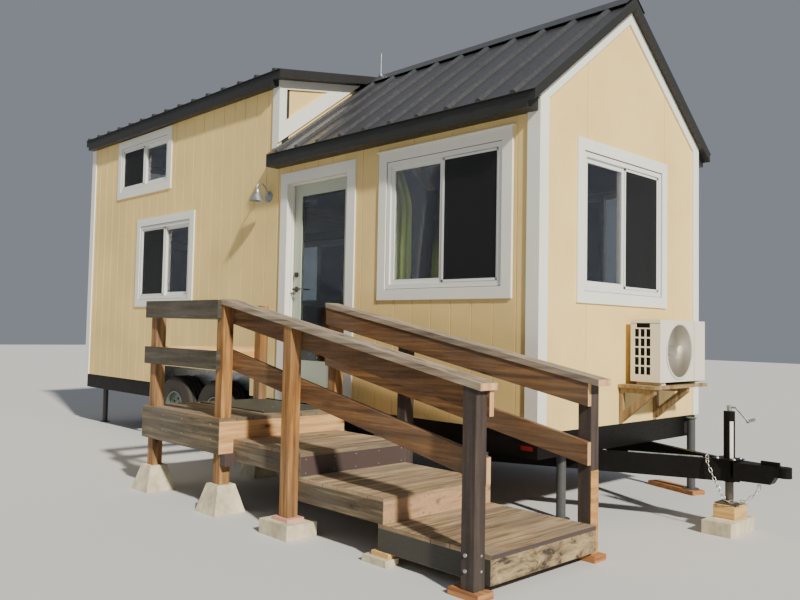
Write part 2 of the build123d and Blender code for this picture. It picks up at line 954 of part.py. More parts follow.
coupler = along_z([
    (neck_start, centre_y - neck_half_width * 2),
    (ball_x - coupler_head_radius, centre_y - neck_half_width),
    (ball_x, centre_y - neck_half_width),
    (ball_x, centre_y + neck_half_width),
    (ball_x - coupler_head_radius, centre_y + neck_half_width),
    (neck_start, centre_y + neck_half_width * 2),
], coupler_wing_bottom, coupler_top)
coupler &= along_y([
    (neck_start, coupler_wing_bottom),
    (ball_x - coupler_wing_end, coupler_wing_bottom),
    (ball_x - coupler_head_radius, coupler_bottom),
    (ball_x, coupler_bottom),
    (ball_x, coupler_top),
    (neck_start, coupler_top),
], centre_y - neck_half_width * 3, centre_y + neck_half_width * 3)
head_bottom = (ball_x, centre_y, coupler_bottom)
coupler += rod(head_bottom, (ball_x, centre_y, coupler_top), coupler_head_radius)
socket_top = coupler_bottom + ball_socket_depth
coupler -= rod(
    (ball_x, centre_y, coupler_bottom - 1), (ball_x, centre_y, socket_top), ball_socket_radius
)
coupler += block(
    ball_x - 150, ball_x - 30, centre_y - 14, centre_y + 14, coupler_top, coupler_top + 26
)
coupler -= tongue
coupler = max(coupler.solids(), key=lambda solid: solid.volume)
add("tongue_beams", tongue)
add("coupler", coupler)

# Tongue jack: tube with cap, inner leg with foot, and the crank on top
tube = rod(
    (jack_x, centre_y, jack_tube_bottom), (jack_x, centre_y, jack_tube_top), jack_tube_radius
)
leg_bore = jack_leg_radius + jack_clearance
cap_bottom = jack_tube_top - 14
tube -= rod((jack_x, centre_y, jack_tube_bottom - 1), (jack_x, centre_y, cap_bottom), leg_bore)
crank_shaft = 9
tube -= rod(
    (jack_x, centre_y, cap_bottom - 1), (jack_x, centre_y, jack_tube_top + 1),
    crank_shaft + pin_clearance,
)
add("jack_tube", tube)
foot_bottom = cap_block_height + jack_timber_height
leg = rod(
    (jack_x, centre_y, foot_bottom), (jack_x, centre_y, foot_bottom + jack_leg_length),
    jack_leg_radius,
)
half_foot = jack_foot / 2
leg += block(
    jack_x - half_foot, jack_x + half_foot, centre_y - half_foot, centre_y + half_foot,
    foot_bottom, foot_bottom + plate_thickness,
)
add("jack_leg", leg)
hub_bottom = jack_tube_top + crank_gap
hub_top = hub_bottom + 36
crank = rod((jack_x, centre_y, cap_bottom - 20), (jack_x, centre_y, hub_bottom), crank_shaft)
crank += rod((jack_x, centre_y, hub_bottom), (jack_x, centre_y, hub_top), 17)
arm_z = hub_top - 12
elbow_x = jack_x + crank_arm
crank += rod((jack_x, centre_y, arm_z), (jack_x + 46, centre_y, arm_z), crank_rod)
crank += Pos(jack_x + 46, centre_y, arm_z) * Sphere(crank_rod)
grip_z = arm_z - crank_drop
crank += rod((jack_x + 46, centre_y, arm_z), (elbow_x, centre_y, grip_z), crank_rod)
crank += rod((elbow_x - 4, centre_y, grip_z), (elbow_x + 4, centre_y + 95, grip_z + 8), grip_radius)
add("jack_crank", crank)

# Stabiliser legs under the corners, on the ground or on a plank
stand_cap_radius = stabiliser_radius * 1.3
front_stand_x = house_length + stand_cap_radius
stand_top = sill_height - 14


def leg_stand(x, y, foot, top):
    """A pipe with a round foot plate."""
    pipe = rod((x, y, foot), (x, y, top), stabiliser_radius)
    return pipe + rod((x, y, foot), (x, y, foot + plate_thickness), stabiliser_radius * 1.9)


front_stand = leg_stand(front_stand_x, front_far_leg_y, plank_height, stand_top)
front_stand += rod(
    (front_stand_x, front_far_leg_y, stand_top - plate_thickness),
    (front_stand_x, front_far_leg_y, stand_top), stand_cap_radius,
)
front_stand += block(
    house_length, front_stand_x, front_far_leg_y - 30, front_far_leg_y + 30,
    frame_bottom + 30, sill_height - 40,
)
add("stabiliser_legs", [
    leg_stand(front_leg_x, front_leg_y, 0, frame_bottom),
    front_stand,
    leg_stand(rear_leg_x, rear_leg_y, 0, frame_bottom),
    leg_stand(rear_leg_x, house_width - rear_leg_y, 0, frame_bottom),
])

# Timber under the jack, the far leg and the posts
timber_y = centre_y - 20
timbers = [
    block(
        jack_x - 65, jack_x + 85, timber_y - 100, timber_y + 110,
        cap_block_height, foot_bottom,
    ),
    Pos(house_length - 119, front_far_leg_y + 57, plank_height / 2)
    * Rot(0, 0, -20) * Box(530, 140, plank_height),
]

# Steps and landing
landing_end = landing_start + landing_length
outer_y = -(step_outer + post)
inner_y = -step_inner


def rail_top(x):
    """Height of the upper face of the sloping rail caps."""
    return rail_top_start - rail_cap_slope * (x - landing_end + 66)


def sloped(x0, x1, y0, y1, top_z, slope, depth):
    """A sloping board with plumb ends and its top at top_z over x0."""
    fall = slope * (x1 - x0)
    return along_y([
        (x0, top_z),
        (x1, top_z - fall),
        (x1, top_z - fall - depth),
        (x0, top_z - depth),
    ], y0, y1)


def standing_post(x, y, foot, top_z=None):
    """A square post cut level, or cut to the slope of the rail cap."""
    if top_z is not None:
        return block(x, x + post, y, y + post, foot, top_z)
    fall = rail_cap_slope * post
    high = rail_top(x) - cap_depth
    return along_y([(x, foot), (x + post, foot), (x + post, high - fall), (x, high)], y, y + post)


cap_depth = board * math.sqrt(1 + rail_cap_slope ** 2)
post_block = 95
post_shim = 22
level_top = rail_top(landing_end - 66) - 6
landing_inner_post = landing_start + board
inner_corner_y = -(landing_back + board + post)
outer_feet = [pier_height, pier_height, post_block + post_shim, plank_height]
inner_feet = [pier_height, pier_height, 0, plank_height]
posts = [standing_post(post_x[0], outer_y, outer_feet[0], level_top)]
for i in (1, 2, 3):
    posts.append(standing_post(post_x[i], outer_y, outer_feet[i]))
    posts.append(standing_post(post_x[i], inner_y, inner_feet[i]))
posts.append(standing_post(landing_inner_post, inner_corner_y, inner_feet[0], level_top))
add("railing_posts", posts)


def deck(x0, x1, y0, y1, top_z, depth, boards_along_x):
    """A platform: rim boards, joists and deck boards with gaps between them."""
    bottom = top_z - depth
    under = top_z - deck_thickness
    frame_box = block(x0, x1, y0, y1, bottom, under)
    frame_box -= block(x0 + board, x1 - board, y0 + board, y1 - board, bottom - 1, under + 1)
    if boards_along_x:
        start, end = y0, y1
        middle = (x0 + x1) / 2
        frame_box += block(middle - board / 2, middle + board / 2, y0, y1, bottom, under)
    else:
        start, end = x0, x1
        middle = (y0 + y1) / 2
        frame_box += block(x0, x1, middle - board / 2, middle + board / 2, bottom, under)
    count = max(1, round((end - start) / (deck_board + deck_gap)))
    pitch = (end - start + deck_gap) / count
    for i in range(count):
        a = start + i * pitch
        b = a + pitch - deck_gap
        if boards_along_x:
            frame_box += block(x0, x1, a, b, under, top_z)
        else:
            frame_box += block(a, b, y0, y1, under, top_z)
    return frame_box


landing = deck(
    landing_start, landing_end, -landing_front, -landing_back,
    landing_height, landing_depth, True,
)
door_board = block(
    door_board_start, door_board_start + door_board_length, -door_board_front, -door_board_back,
    landing_height, landing_height + door_board_thickness,
)
steps = []
for i in range(3):
    x0 = landing_end + i * step_run
    if i > 0:
        x0 -= step_lap
    x1 = landing_end + (i + 1) * step_run
    top_z = landing_height - (i + 1) * step_rise
    steps.append(deck(x0, x1, -step_outer, -step_inner, top_z, step_rise, False))
for upright in posts:
    landing -= upright
    steps = [step - upright for step in steps]
    door_board -= upright
add("landing", landing)
add("door_board", door_board)
add("steps", steps)

# Railing boards: level ones round the landing, sloping ones down the steps
split = landing_end - 66
board_depth = rail_board * math.sqrt(1 + rail_cap_slope ** 2)
mid_depth = rail_board * math.sqrt(1 + rail_mid_slope ** 2)
level_front = -landing_front
end_posts = -(landing_back + board)
outer_face = -step_outer
inner_face = inner_y - board
inner_rail_start = post_x[1]
last_post_end = post_x[3] + post
boards = []
for top_z in (level_top, level_mid_top):
    boards.append(block(
        landing_start, split, level_front, level_front + board, top_z - rail_board, top_z
    ))
    boards.append(block(
        landing_start, landing_start + board, level_front + board + seat_gap, end_posts,
        top_z - rail_board, top_z,
    ))
boards.append(sloped(
    split, rail_end, outer_face, outer_face + board,
    rail_top(split) - cap_depth, rail_cap_slope, board_depth,
))
boards.append(sloped(
    post_x[1], last_post_end, outer_face, outer_face + board,
    rail_mid_start + rail_mid_slope * (split - post_x[1]), rail_mid_slope, mid_depth,
))
boards.append(sloped(
    inner_rail_start, last_post_end, inner_face, inner_face + board,
    rail_top(inner_rail_start) - cap_depth, rail_cap_slope, board_depth,
))
boards.append(sloped(
    inner_rail_start, last_post_end, inner_face, inner_face + board,
    rail_mid_start + rail_mid_slope * (split - inner_rail_start), rail_mid_slope, mid_depth,
))
add("railing_boards", boards)
cap_outer_y = outer_y - 8
cap_inner_y = inner_face - 8
add("railing_caps", [
    sloped(
        split + 1, rail_end + outer_cap_reach, cap_outer_y, cap_outer_y + rail_board,
        rail_top(split + 1), rail_cap_slope, cap_depth,
    ),
    sloped(
        inner_rail_start, last_post_end + inner_cap_reach, cap_inner_y, cap_inner_y + rail_board,
        rail_top(inner_rail_start), rail_cap_slope, cap_depth,
    ),
])

# Ground pads: pyramid piers, flat blocks, the jack block and a small paver
half_post = post / 2
pier_head = Pos(0, 0, pier_height) * Rectangle(pier_top, pier_top)
pier = loft([Rectangle(pier_base, pier_base), pier_head])
outer_mid = outer_y + half_post
inner_mid = inner_y + half_post
pads = [
    Pos(post_x[0] + half_post, outer_mid, 0) * pier,
    Pos(post_x[1] + half_post, outer_mid, 0) * pier,
    Pos(post_x[1] + half_post, inner_mid, 0) * pier,
    Pos(landing_inner_post + half_post, inner_corner_y + half_post, 0) * pier,
    block(
        post_x[2] + half_post - 150, post_x[2] + half_post + 150,
        outer_mid - 125, outer_mid + 125, 0, post_block,
    ),
    block(
        jack_x - 80, jack_x - 80 + cap_block_width,
        timber_y - 50 - cap_block_length / 2, timber_y - 50 + cap_block_length / 2,
        0, cap_block_height,
    ),
]
step_bottom = landing_height - 4 * step_rise
paver_x = landing_end + 2 * step_run - 70
pads.append(block(
    paver_x - 43, paver_x + 155, -step_outer - 60, -step_outer + 50, 0, paver_height
))
add("concrete_blocks", pads)
timbers.append(block(
    post_x[2] - 40, post_x[2] + post + 40, outer_mid - 70, outer_mid + 70,
    post_block, post_block + post_shim,
))
timbers.append(block(
    paver_x - 6, paver_x + 140, -step_outer - 20, -step_outer + 40, paver_height, step_bottom
))
for y in (outer_mid, inner_mid):
    timbers.append(block(
        post_x[3] - 70, post_x[3] + post + 45, y - 65, y + 65, 0, plank_height
    ))
landing_bottom = landing_height - landing_depth
cleat_start = post_x[1] + post
timbers.append(block(
    cleat_start, cleat_start + cleat_length, outer_y, outer_y + post,
    landing_bottom - cleat_height, landing_bottom,
))
add("timber_blocks", timbers)

# Safety chain, as one plain strand from the near beam down and up to the coupler
chain_low = foot_bottom + 42
chain_end_x = ball_x - 151
chain = wire_rod([
    (jack_x - 113, centre_y - 49, frame_bottom + chain_radius + seat_gap),
    (jack_x - 105, centre_y - 89, frame_bottom + 22),
    (jack_x - 95, centre_y - 117, frame_bottom - 8),
    (jack_x - 79, centre_y - 125, frame_bottom - 50),
    (jack_x - 37, centre_y - 127, frame_bottom - 141),
    (jack_x + 32, centre_y - 133, chain_low + 10),
    (jack_x + 91, centre_y - 129, chain_low),
    (chain_end_x - 72, centre_y - 108, chain_low + 12),
    (chain_end_x - 25, centre_y - 66, chain_low + 54),
    (chain_end_x - 3, centre_y - 38, chain_low + 92),
    (chain_end_x, centre_y - 36, coupler_wing_bottom - 22),
    (chain_end_x, centre_y - 36, coupler_wing_bottom - 2 * seat_gap),
], chain_radius)
add("safety_chain", chain)

# Air conditioner on a timber bracket
shelf_end = house_length + bracket_depth
shelf_bottom = ac_shelf_height - deck_thickness
bracket = block(house_length, shelf_end, bracket_start, bracket_end, shelf_bottom, ac_shelf_height)
for y in (bracket_start + 20, bracket_start + 20 + brace_spacing):
    outer = along_y([
        (house_length, shelf_bottom),
        (shelf_end - 20, shelf_bottom),
        (shelf_end - 20, shelf_bottom - bracket_board),
        (house_length + bracket_board, shelf_bottom - bracket_drop),
        (house_length, shelf_bottom - bracket_drop),
    ], y, y + bracket_board)
    hole = along_y([
        (house_length + bracket_board, shelf_bottom - bracket_board),
        (shelf_end - 100, shelf_bottom - bracket_board),
        (house_length + bracket_board, shelf_bottom - bracket_drop + 75),
    ], y - 1, y + bracket_board + 1)
    bracket += outer - hole
add("ac_bracket", bracket)
ac_x0 = house_length + ac_gap
ac_x1 = ac_x0 + ac_depth
ac_end = ac_start + ac_width
ac_bottom = ac_shelf_height + ac_feet
ac_top = ac_bottom + ac_height
fan_z = ac_bottom + ac_height / 2
housing = block(ac_x0, ac_x1, ac_start, ac_end, ac_bottom, ac_top)
housing -= block(
    ac_x0 + ac_sheet, ac_x1 - ac_sheet, ac_start + ac_sheet, ac_end - ac_sheet,
    ac_bottom + ac_sheet, ac_top - ac_sheet,
)
housing -= rod((ac_x1 - 20, ac_fan_centre, fan_z), (ac_x1 + 10, ac_fan_centre, fan_z), fan_opening)
for column in range(3):
    for row in range(5):
        x = ac_x0 + 34 + column * (louvre_width + louvre_gap)
        z = ac_top - 74 - row * (louvre_height + louvre_gap)
        housing -= block(
            x, x + louvre_width, ac_start - 1, ac_start + ac_sheet + 1, z - louvre_height, z
        )
housing -= block(
    ac_x0 + 48, ac_x0 + 160, ac_start - 1, ac_start + ac_sheet + 1, ac_top - 64, ac_top - 28
)
for y in (ac_start + 60, ac_end - 130):
    housing += block(ac_x0 + 20, ac_x1 - 20, y, y + 70, ac_shelf_height, ac_bottom)
motor_end = ac_x0 + 120
motor = (ac_x0, ac_fan_centre, fan_z)
housing += rod(motor, (motor_end, ac_fan_centre, fan_z), fan_hub_radius + 10)
shaft_end = ac_x1 - 60
housing += rod(motor, (shaft_end, ac_fan_centre, fan_z), fan_shaft)
add("ac_housing", housing)
fan_x0 = motor_end + door_gap
fan_x1 = ac_x1 - 50
fan = rod((fan_x0, ac_fan_centre, fan_z), (fan_x1, ac_fan_centre, fan_z), fan_hub_radius)
blade_root = fan_hub_radius - 20
blade_length = fan_radius - blade_root - 8
blade_middle = blade_root + blade_length / 2
for i in range(3):
    blade = Pos(0, 0, blade_middle) * Rot(0, 0, 24) * Box(5, 96, blade_length)
    fan += Pos((fan_x0 + fan_x1) / 2, ac_fan_centre, fan_z) * Rot(i * 120, 0, 0) * blade
fan -= rod(
    (fan_x0 - 1, ac_fan_centre, fan_z), (shaft_end + door_gap, ac_fan_centre, fan_z),
    fan_shaft + pin_clearance,
)
add("ac_fan", fan)


def hoop(radius, thickness, x0, x1):
    """A ring round the fan axis."""
    outer = rod((x0, ac_fan_centre, fan_z), (x1, ac_fan_centre, fan_z), radius)
    inner = rod((x0 - 1, ac_fan_centre, fan_z), (x1 + 1, ac_fan_centre, fan_z), radius - thickness)
    return outer - inner


grille_x = ac_x1 + 7
grille = hoop(fan_opening + 12, 12 + 6, ac_x1, grille_x)
for radius in (170, 128, 86):
    grille += hoop(radius, 5, ac_x1 + 1, grille_x)
grille += rod((ac_x1 + 1, ac_fan_centre, fan_z), (grille_x, ac_fan_centre, fan_z), 44)
for i in range(8):
    spoke = Pos(ac_x1 + 4, 0, (fan_opening + 30) / 2) * Box(6, 5, fan_opening - 30)
    grille += Pos(0, ac_fan_centre, fan_z) * Rot(i * 45, 0, 0) * spoke
add("ac_grille", grille)

# Porch light, roof mast, curtain and its rod
lamp_y = -lamp_reach
lamp_height = wall_top - lamp_drop
neck_radius = 8
shade_top = lamp_height + 54
shade_bottom = lamp_height - 57
lamp = rod((lamp_x, 0, lamp_height), (lamp_x, -14, lamp_height), 55)
lamp += wire_rod([
    (lamp_x, -8, lamp_height),
    (lamp_x, -60, lamp_height + 90),
    (lamp_x, -112, lamp_height + 122),
    (lamp_x, lamp_y, lamp_height + 96),
    (lamp_x, lamp_y, shade_top - 4),
], neck_radius)
shade = Plane.XZ * make_face(Polyline(
    (0, shade_top), (26, shade_top), (30, shade_top - 26),
    (lamp_shade_radius, shade_bottom + 6), (lamp_shade_radius, shade_bottom),
    (lamp_shade_radius - 4, shade_bottom), (27, shade_top - 30), (0, shade_top - 30),
    close=True,
))
lamp += Pos(lamp_x, lamp_y, 0) * revolve(shade, axis=Axis.Z, revolution_arc=360)
add("porch_light", lamp)

mast_x = dormer_end + 45
mast_base = main_top(centre_y) + main_sheet_lift
cap_top = mast_base + sheet_thickness
mast = rod((mast_x, centre_y, cap_top - 12), (mast_x, centre_y, cap_top + mast_height), mast_radius)
mast += rod((mast_x, centre_y, cap_top - 12), (mast_x, centre_y, cap_top + 14), mast_radius * 2.2)
mast -= along_x(
    [(y, z + sheet_thickness) for y, z in over_main[:3]] + [over_main[3]],
    mast_x - 60, mast_x + 60,
)
add("roof_mast", mast)

rod_y = wall_thickness + 60
rod_z = sill_height + main_head + 70
rod_x0 = curtain_start - 40
rod_x1 = main_window_x + main_window_width / 2 + 90
curtain_rod = rod((rod_x0, rod_y, rod_z), (rod_x1, rod_y, rod_z), rod_radius)
for x in (rod_x0 + 30, rod_x1 - 30):
    curtain_rod += rod((x, wall_thickness, rod_z), (x, rod_y, rod_z), rod_radius * 0.8)
add("curtain_rod", curtain_rod)
cloth_top = rod_z - rod_radius - seat_gap
folds = 6
front_edge = []
back_edge = []
for i in range(folds * 4 + 1):
    x = curtain_start + curtain_width * i / (folds * 4)
    wave = curtain_wave * math.sin(i * math.pi / 2)
    front_edge.append((x, rod_y + wave - 2))
    back_edge.append((x, rod_y + wave + 2))
add("curtain", along_z(front_edge + back_edge[::-1], cloth_top - curtain_height, cloth_top))

# Move the model so that the origin is on the ground under the middle of it
x_low = -end_overhang
x_high = ball_x + coupler_head_radius
y_low = outer_mid - pier_base / 2
rib_lean = (rib_height + sheet_thickness) * main_slope / math.sqrt(1 + main_slope ** 2)
y_high = house_width + main_overhang + sheet_overhang + rib_lean
to_origin = Pos(-(x_low + x_high) / 2, -(y_low + y_high) / 2, 0)
os.makedirs("parts", exist_ok=True)
for name, shape in nodes.items():
    moved = to_origin * shape
    moved.label = name
    export_step(moved, "parts/" + name + ".step")
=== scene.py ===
import json
import math

import bpy
from mathutils import Matrix, Vector


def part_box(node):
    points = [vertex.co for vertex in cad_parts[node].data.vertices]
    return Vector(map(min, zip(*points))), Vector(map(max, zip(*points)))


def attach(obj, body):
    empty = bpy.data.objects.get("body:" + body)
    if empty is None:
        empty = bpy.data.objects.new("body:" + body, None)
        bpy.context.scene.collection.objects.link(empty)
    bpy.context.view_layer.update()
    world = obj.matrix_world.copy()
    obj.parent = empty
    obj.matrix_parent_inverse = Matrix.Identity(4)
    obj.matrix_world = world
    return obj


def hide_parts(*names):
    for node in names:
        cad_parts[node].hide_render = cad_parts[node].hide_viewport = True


# Tiny house on wheels: finishes and fine detail over the solid model. Metres.
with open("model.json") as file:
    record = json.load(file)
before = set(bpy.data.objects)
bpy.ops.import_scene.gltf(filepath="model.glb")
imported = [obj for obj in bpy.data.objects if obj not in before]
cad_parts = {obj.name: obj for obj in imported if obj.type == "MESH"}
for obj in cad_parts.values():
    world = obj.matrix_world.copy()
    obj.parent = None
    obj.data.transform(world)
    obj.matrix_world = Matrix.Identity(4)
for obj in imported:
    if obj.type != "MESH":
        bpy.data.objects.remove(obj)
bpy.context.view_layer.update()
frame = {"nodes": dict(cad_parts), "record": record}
nodes = frame["nodes"]

# Where the house frame lies in the row frame: rear outer corner on the door side
FAR_LOW, FAR_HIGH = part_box("far_side_wall")
NEAR_LOW, NEAR_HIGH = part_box("door_side_wall_rear")
X0 = FAR_LOW.x
Y0 = NEAR_LOW.y
LENGTH = FAR_HIGH.x - FAR_LOW.x
WIDTH = FAR_HIGH.y - NEAR_LOW.y
SILL = FAR_LOW.z
HALF = WIDTH / 2
CENTRE_Y = Y0 + HALF
AXIS_X = Vector((1, 0, 0))
AXIS_Y = Vector((0, 1, 0))
AXIS_Z = Vector((0, 0, 1))

# Camera solved from the photograph: place in the house frame, angles and framing
CAMERA_PLACE = (10.498, -4.615, 1.371)
CAMERA_YAW = 0.8328
CAMERA_PITCH = 0.0493
CAMERA_ROLL = 0.0221
FOCAL_PIXELS = 788.6
IMAGE_WIDTH = 800
SENSOR_WIDTH = 36
CENTRE_OFFSET = (45.59, -10.89)


def house(x, y, z):
    """A point of the house frame, in metres, as a point of the row frame."""
    return Vector((X0 + x, Y0 + y, z))


def srgb(red, green, blue):
    """A display colour, 0 to 255, as a linear one."""
    linear = []
    for value in (red, green, blue):
        part = value / 255
        linear.append(part / 12.92 if part <= 0.04045 else ((part + 0.055) / 1.055) ** 2.4)
    return (*linear, 1)


def scaled(colour, factor):
    """A colour made darker or lighter."""
    return tuple(min(1, part * factor) for part in colour[:3]) + (1,)


class Shader:
    """Short names for building one material's nodes."""

    def __init__(self, name):
        self.material = bpy.data.materials.new(name)
        self.material.use_nodes = True
        self.tree = self.material.node_tree
        self.shader = self.tree.nodes["Principled BSDF"]
        self.place = self.add("ShaderNodeTexCoord").outputs["Object"]

    def add(self, kind, sockets=None, **settings):
        """A new node with its settings, and a value or a link for some of its sockets."""
        node = self.tree.nodes.new(kind)
        for key, value in settings.items():
            setattr(node, key, value)
        for key, value in (sockets or {}).items():
            self.feed(node.inputs[key], value)
        return node

    def feed(self, target, value):
        """Link a socket, or set a plain value."""
        if isinstance(value, bpy.types.NodeSocket):
            self.tree.links.new(value, target)
        else:
            target.default_value = value

    def mapped(self, scale):
        """The place on the part, stretched along each axis."""
        sockets = {"Scale": scale, "Vector": self.place}
        return self.add("ShaderNodeMapping", sockets).outputs["Vector"]

    def noise(self, stretch, scale=1, detail=4, roughness=0.55, distortion=0):
        """Clouds, stretched along each axis."""
        return self.add("ShaderNodeTexNoise", {
            "Vector": self.mapped(stretch), "Scale": scale, "Detail": detail,
            "Roughness": roughness, "Distortion": distortion,
        }).outputs["Fac"]

    def voronoi(self, stretch):
        """Distance to the nearest of scattered points, stretched along each axis."""
        sockets = {"Vector": self.mapped(stretch), "Scale": 1}
        return self.add("ShaderNodeTexVoronoi", sockets).outputs["Distance"]

    def ramp(self, value, stops):
        """Colours laid along a value from 0 to 1, as (place, colour) stops."""
        node = self.add("ShaderNodeValToRGB", {"Fac": value})
        elements = node.color_ramp.elements
        while len(elements) < len(stops):
            elements.new(0.5)
        for element, (place, colour) in zip(elements, stops):
            element.position = place
            element.color = colour
        return node.outputs["Color"]

    def mix(self, factor, first, second, mode="MIX"):
        """Two colours mixed. Their sockets share names with others, so they go by number."""
        node = self.add("ShaderNodeMix", data_type="RGBA", blend_type=mode)
        self.feed(node.inputs["Factor"], factor)
        self.feed(node.inputs[6], first)
        self.feed(node.inputs[7], second)
        return node.outputs[2]

    def math(self, operation, first, second=0.0, clamp=False):
        """A calculation with one or two values."""
        sockets = {0: first, 1: second}
        return self.add("ShaderNodeMath", sockets, operation=operation, use_clamp=clamp).outputs[0]

    def span(self, value, low, high, to_low=0.0, to_high=1.0):
        """A value moved from one range into another, and held inside it."""
        return self.add("ShaderNodeMapRange", {
            "Value": value, "From Min": low, "From Max": high, "To Min": to_low, "To Max": to_high,
        }).outputs["Result"]

    def axis(self, name):
        """The place along one axis."""
        return self.add("ShaderNodeSeparateXYZ", {"Vector": self.place}).outputs[name]

    def facing(self, axis):
        """1 on faces square to an axis, 0 elsewhere."""
        normal = self.add("ShaderNodeNewGeometry").outputs["Normal"]
        along = self.add("ShaderNodeSeparateXYZ", {"Vector": normal}).outputs[axis]
        return self.math("GREATER_THAN", self.math("ABSOLUTE", along), 0.6)

    def choose(self, mask, first, second):
        """first where the mask is 0, second where it is 1."""
        step = self.math("MULTIPLY", mask, self.math("SUBTRACT", second, first))
        return self.math("ADD", first, step)

    def finish(self, colour, rough, bump=None, strength=0.2, distance=0.002, **sockets):
        """The material made of its values; further ones are named with _ for a space."""
        self.feed(self.shader.inputs["Base Color"], colour)
        self.feed(self.shader.inputs["Roughness"], rough)
        for name, value in sockets.items():
            self.shader.inputs[name.replace("_", " ")].default_value = value
        if bump is not None:
            values = {"Strength": strength, "Distance": distance, "Height": bump}
            node = self.add("ShaderNodeBump", values)
            self.feed(self.shader.inputs["Normal"], node.outputs["Normal"])
        return self.material


GRAIN = {"X": (1.6, 30, 30), "Y": (30, 1.6, 30), "Z": (30, 30, 1.6)}
KNOTS = {"X": (2.2, 5.5, 5.5), "Y": (5.5, 2.2, 5.5), "Z": (5.5, 5.5, 2.2)}
CROSS = {"X": "Y", "Y": "X", "Z": "X"}
GREYED_WOOD = (0.2, 0.185, 0.15, 1)
MUD = srgb(120, 104, 82)
RUST = srgb(110, 66, 38)


def timber(name, along, dark, middle, light, grey, boards=None):
    """Sawn timber with grain along one axis and cross boards on the faces square to it.

    grey is how far it has weathered. boards is (axis, pitch, start) for a change of tone from
    board to board.
    """
    s = Shader(name)
    dark, middle, light = srgb(*dark), srgb(*middle), srgb(*light)
    square = s.facing(along)
    cross = CROSS[along]
    fine = s.choose(
        square,
        s.noise(GRAIN[along], detail=8, roughness=0.65, distortion=0.35),
        s.noise(GRAIN[cross], detail=8, roughness=0.65, distortion=0.35),
    )
    broad = s.noise((1.3, 1.3, 1.3), detail=3)
    colour = s.ramp(fine, [(0.3, dark), (0.5, middle), (0.68, light)])
    if boards:
        axis, pitch, start = boards
        index = s.math("FLOOR", s.math("DIVIDE", s.math("SUBTRACT", s.axis(axis), start), pitch))
        tone = s.add("ShaderNodeTexWhiteNoise", {"W": index}, noise_dimensions="1D")
        level = s.span(tone.outputs["Value"], 0, 1, 0.7, 1.2)
        gray = s.add("ShaderNodeCombineColor", {0: level, 1: level, 2: level})
        colour = s.mix(1.0, colour, gray.outputs["Color"], "MULTIPLY")
    weather = s.span(broad, 0.42, 0.68, 0, grey)
    colour = s.mix(weather, colour, GREYED_WOOD)
    knot = s.choose(square, s.voronoi(KNOTS[along]), s.voronoi(KNOTS[cross]))
    halo = s.span(knot, 0.07, 0.2, 0.55, 0)
    colour = s.mix(halo, colour, dark)
    spot = s.span(knot, 0.05, 0.09, 0.9, 0)
    colour = s.mix(spot, colour, scaled(dark, 0.4))
    edge = s.noise((40, 40, 40), detail=4)
    return s.finish(colour, s.span(edge, 0.3, 0.7, 0.68, 0.88), fine, 0.55, 0.002)


def peeling(name, old, flake, bare, share):
    """Old paint that flakes off a board and shows the wood."""
    s = Shader(name)
    old, flake, bare = srgb(*old), srgb(*flake), srgb(*bare)
    patch = s.noise((9, 6, 14), detail=9, roughness=0.72, distortion=0.6)
    colour = s.ramp(patch, [(share - 0.1, old), (share, flake), (share + 0.14, bare)])
    streak = s.noise((26, 3, 26), detail=6)
    colour = s.mix(s.span(streak, 0.5, 0.7, 0, 0.5), colour, scaled(old, 0.5))
    return s.finish(colour, s.span(patch, 0.3, 0.7, 0.55, 0.9), patch, 0.6, 0.002)


def paint(
    name, colour, variation, rough, grain=(9, 9, 9), dirt=0.0, strength=0.12, metal=0.0, shine=0.5,
):
    """Painted surface with slight tone changes, fine texture and dirt near the ground."""
    s = Shader(name)
    colour = srgb(*colour)
    low = scaled(colour, 1 - variation)
    high = scaled(colour, 1 + variation * 0.7)
    broad = s.noise((1.1, 1.1, 1.1), detail=5)
    tint = s.ramp(broad, [(0.35, low), (0.65, high)])
    fine = s.noise(grain, scale=6, detail=6, roughness=0.6)
    tint = s.mix(s.span(fine, 0.35, 0.7, 0.0, 0.22), tint, low)
    if dirt:
        height = s.span(s.axis("Z"), 0.2, 1.25, dirt, 0)
        splash = s.math("MULTIPLY", height, s.span(fine, 0.3, 0.75, 0.2, 1.3), clamp=True)
        tint = s.mix(splash, tint, MUD)
    return s.finish(
        tint, s.span(fine, 0.3, 0.7, rough - 0.12, rough + 0.12), fine, strength, 0.0012,
        Metallic=metal, Specular_IOR_Level=shine,
    )


def concrete(name, colour):
    """Rough cast concrete with pits and stains."""
    s = Shader(name)
    colour = srgb(*colour)
    low = scaled(colour, 0.55)
    stain = s.noise((7, 7, 5), detail=6, roughness=0.7)
    tint = s.ramp(stain, [(0.32, low), (0.62, colour)])
    pit = s.voronoi((60, 60, 60))
    tint = s.mix(s.span(pit, 0.05, 0.16, 0.6, 0), tint, low)
    grit = s.noise((70, 70, 70), detail=6, roughness=0.7)
    return s.finish(tint, s.span(grit, 0.3, 0.7, 0.8, 0.97), grit, 0.7, 0.003)


def metal(name, colour, rough, metallic, rust=0.0):
    """Bare or galvanised metal with spangle, scuffs and some rust."""
    s = Shader(name)
    colour = srgb(*colour)
    cells = s.voronoi((28, 28, 28))
    tint = s.ramp(cells, [(0.1, scaled(colour, 0.72)), (0.7, colour)])
    scuff = s.noise((14, 14, 14), detail=7, roughness=0.7)
    if rust:
        tint = s.mix(s.span(scuff, 0.52, 0.66, 0, rust), tint, RUST)
    roughness = s.span(scuff, 0.3, 0.7, rough - 0.12, rough + 0.16)
    return s.finish(tint, roughness, scuff, 0.12, 0.001, Metallic=metallic)


def glass(name, tint, solid):
    """Tinted pane that shows the dark room behind it and lets some sun in."""
    s = Shader(name)
    smear = s.noise((3, 3, 3), detail=3)
    roughness = s.span(smear, 0.35, 0.7, 0.0, 0.03)
    return s.finish(tint, roughness, Transmission_Weight=1.0, Alpha=solid, IOR=1.45)


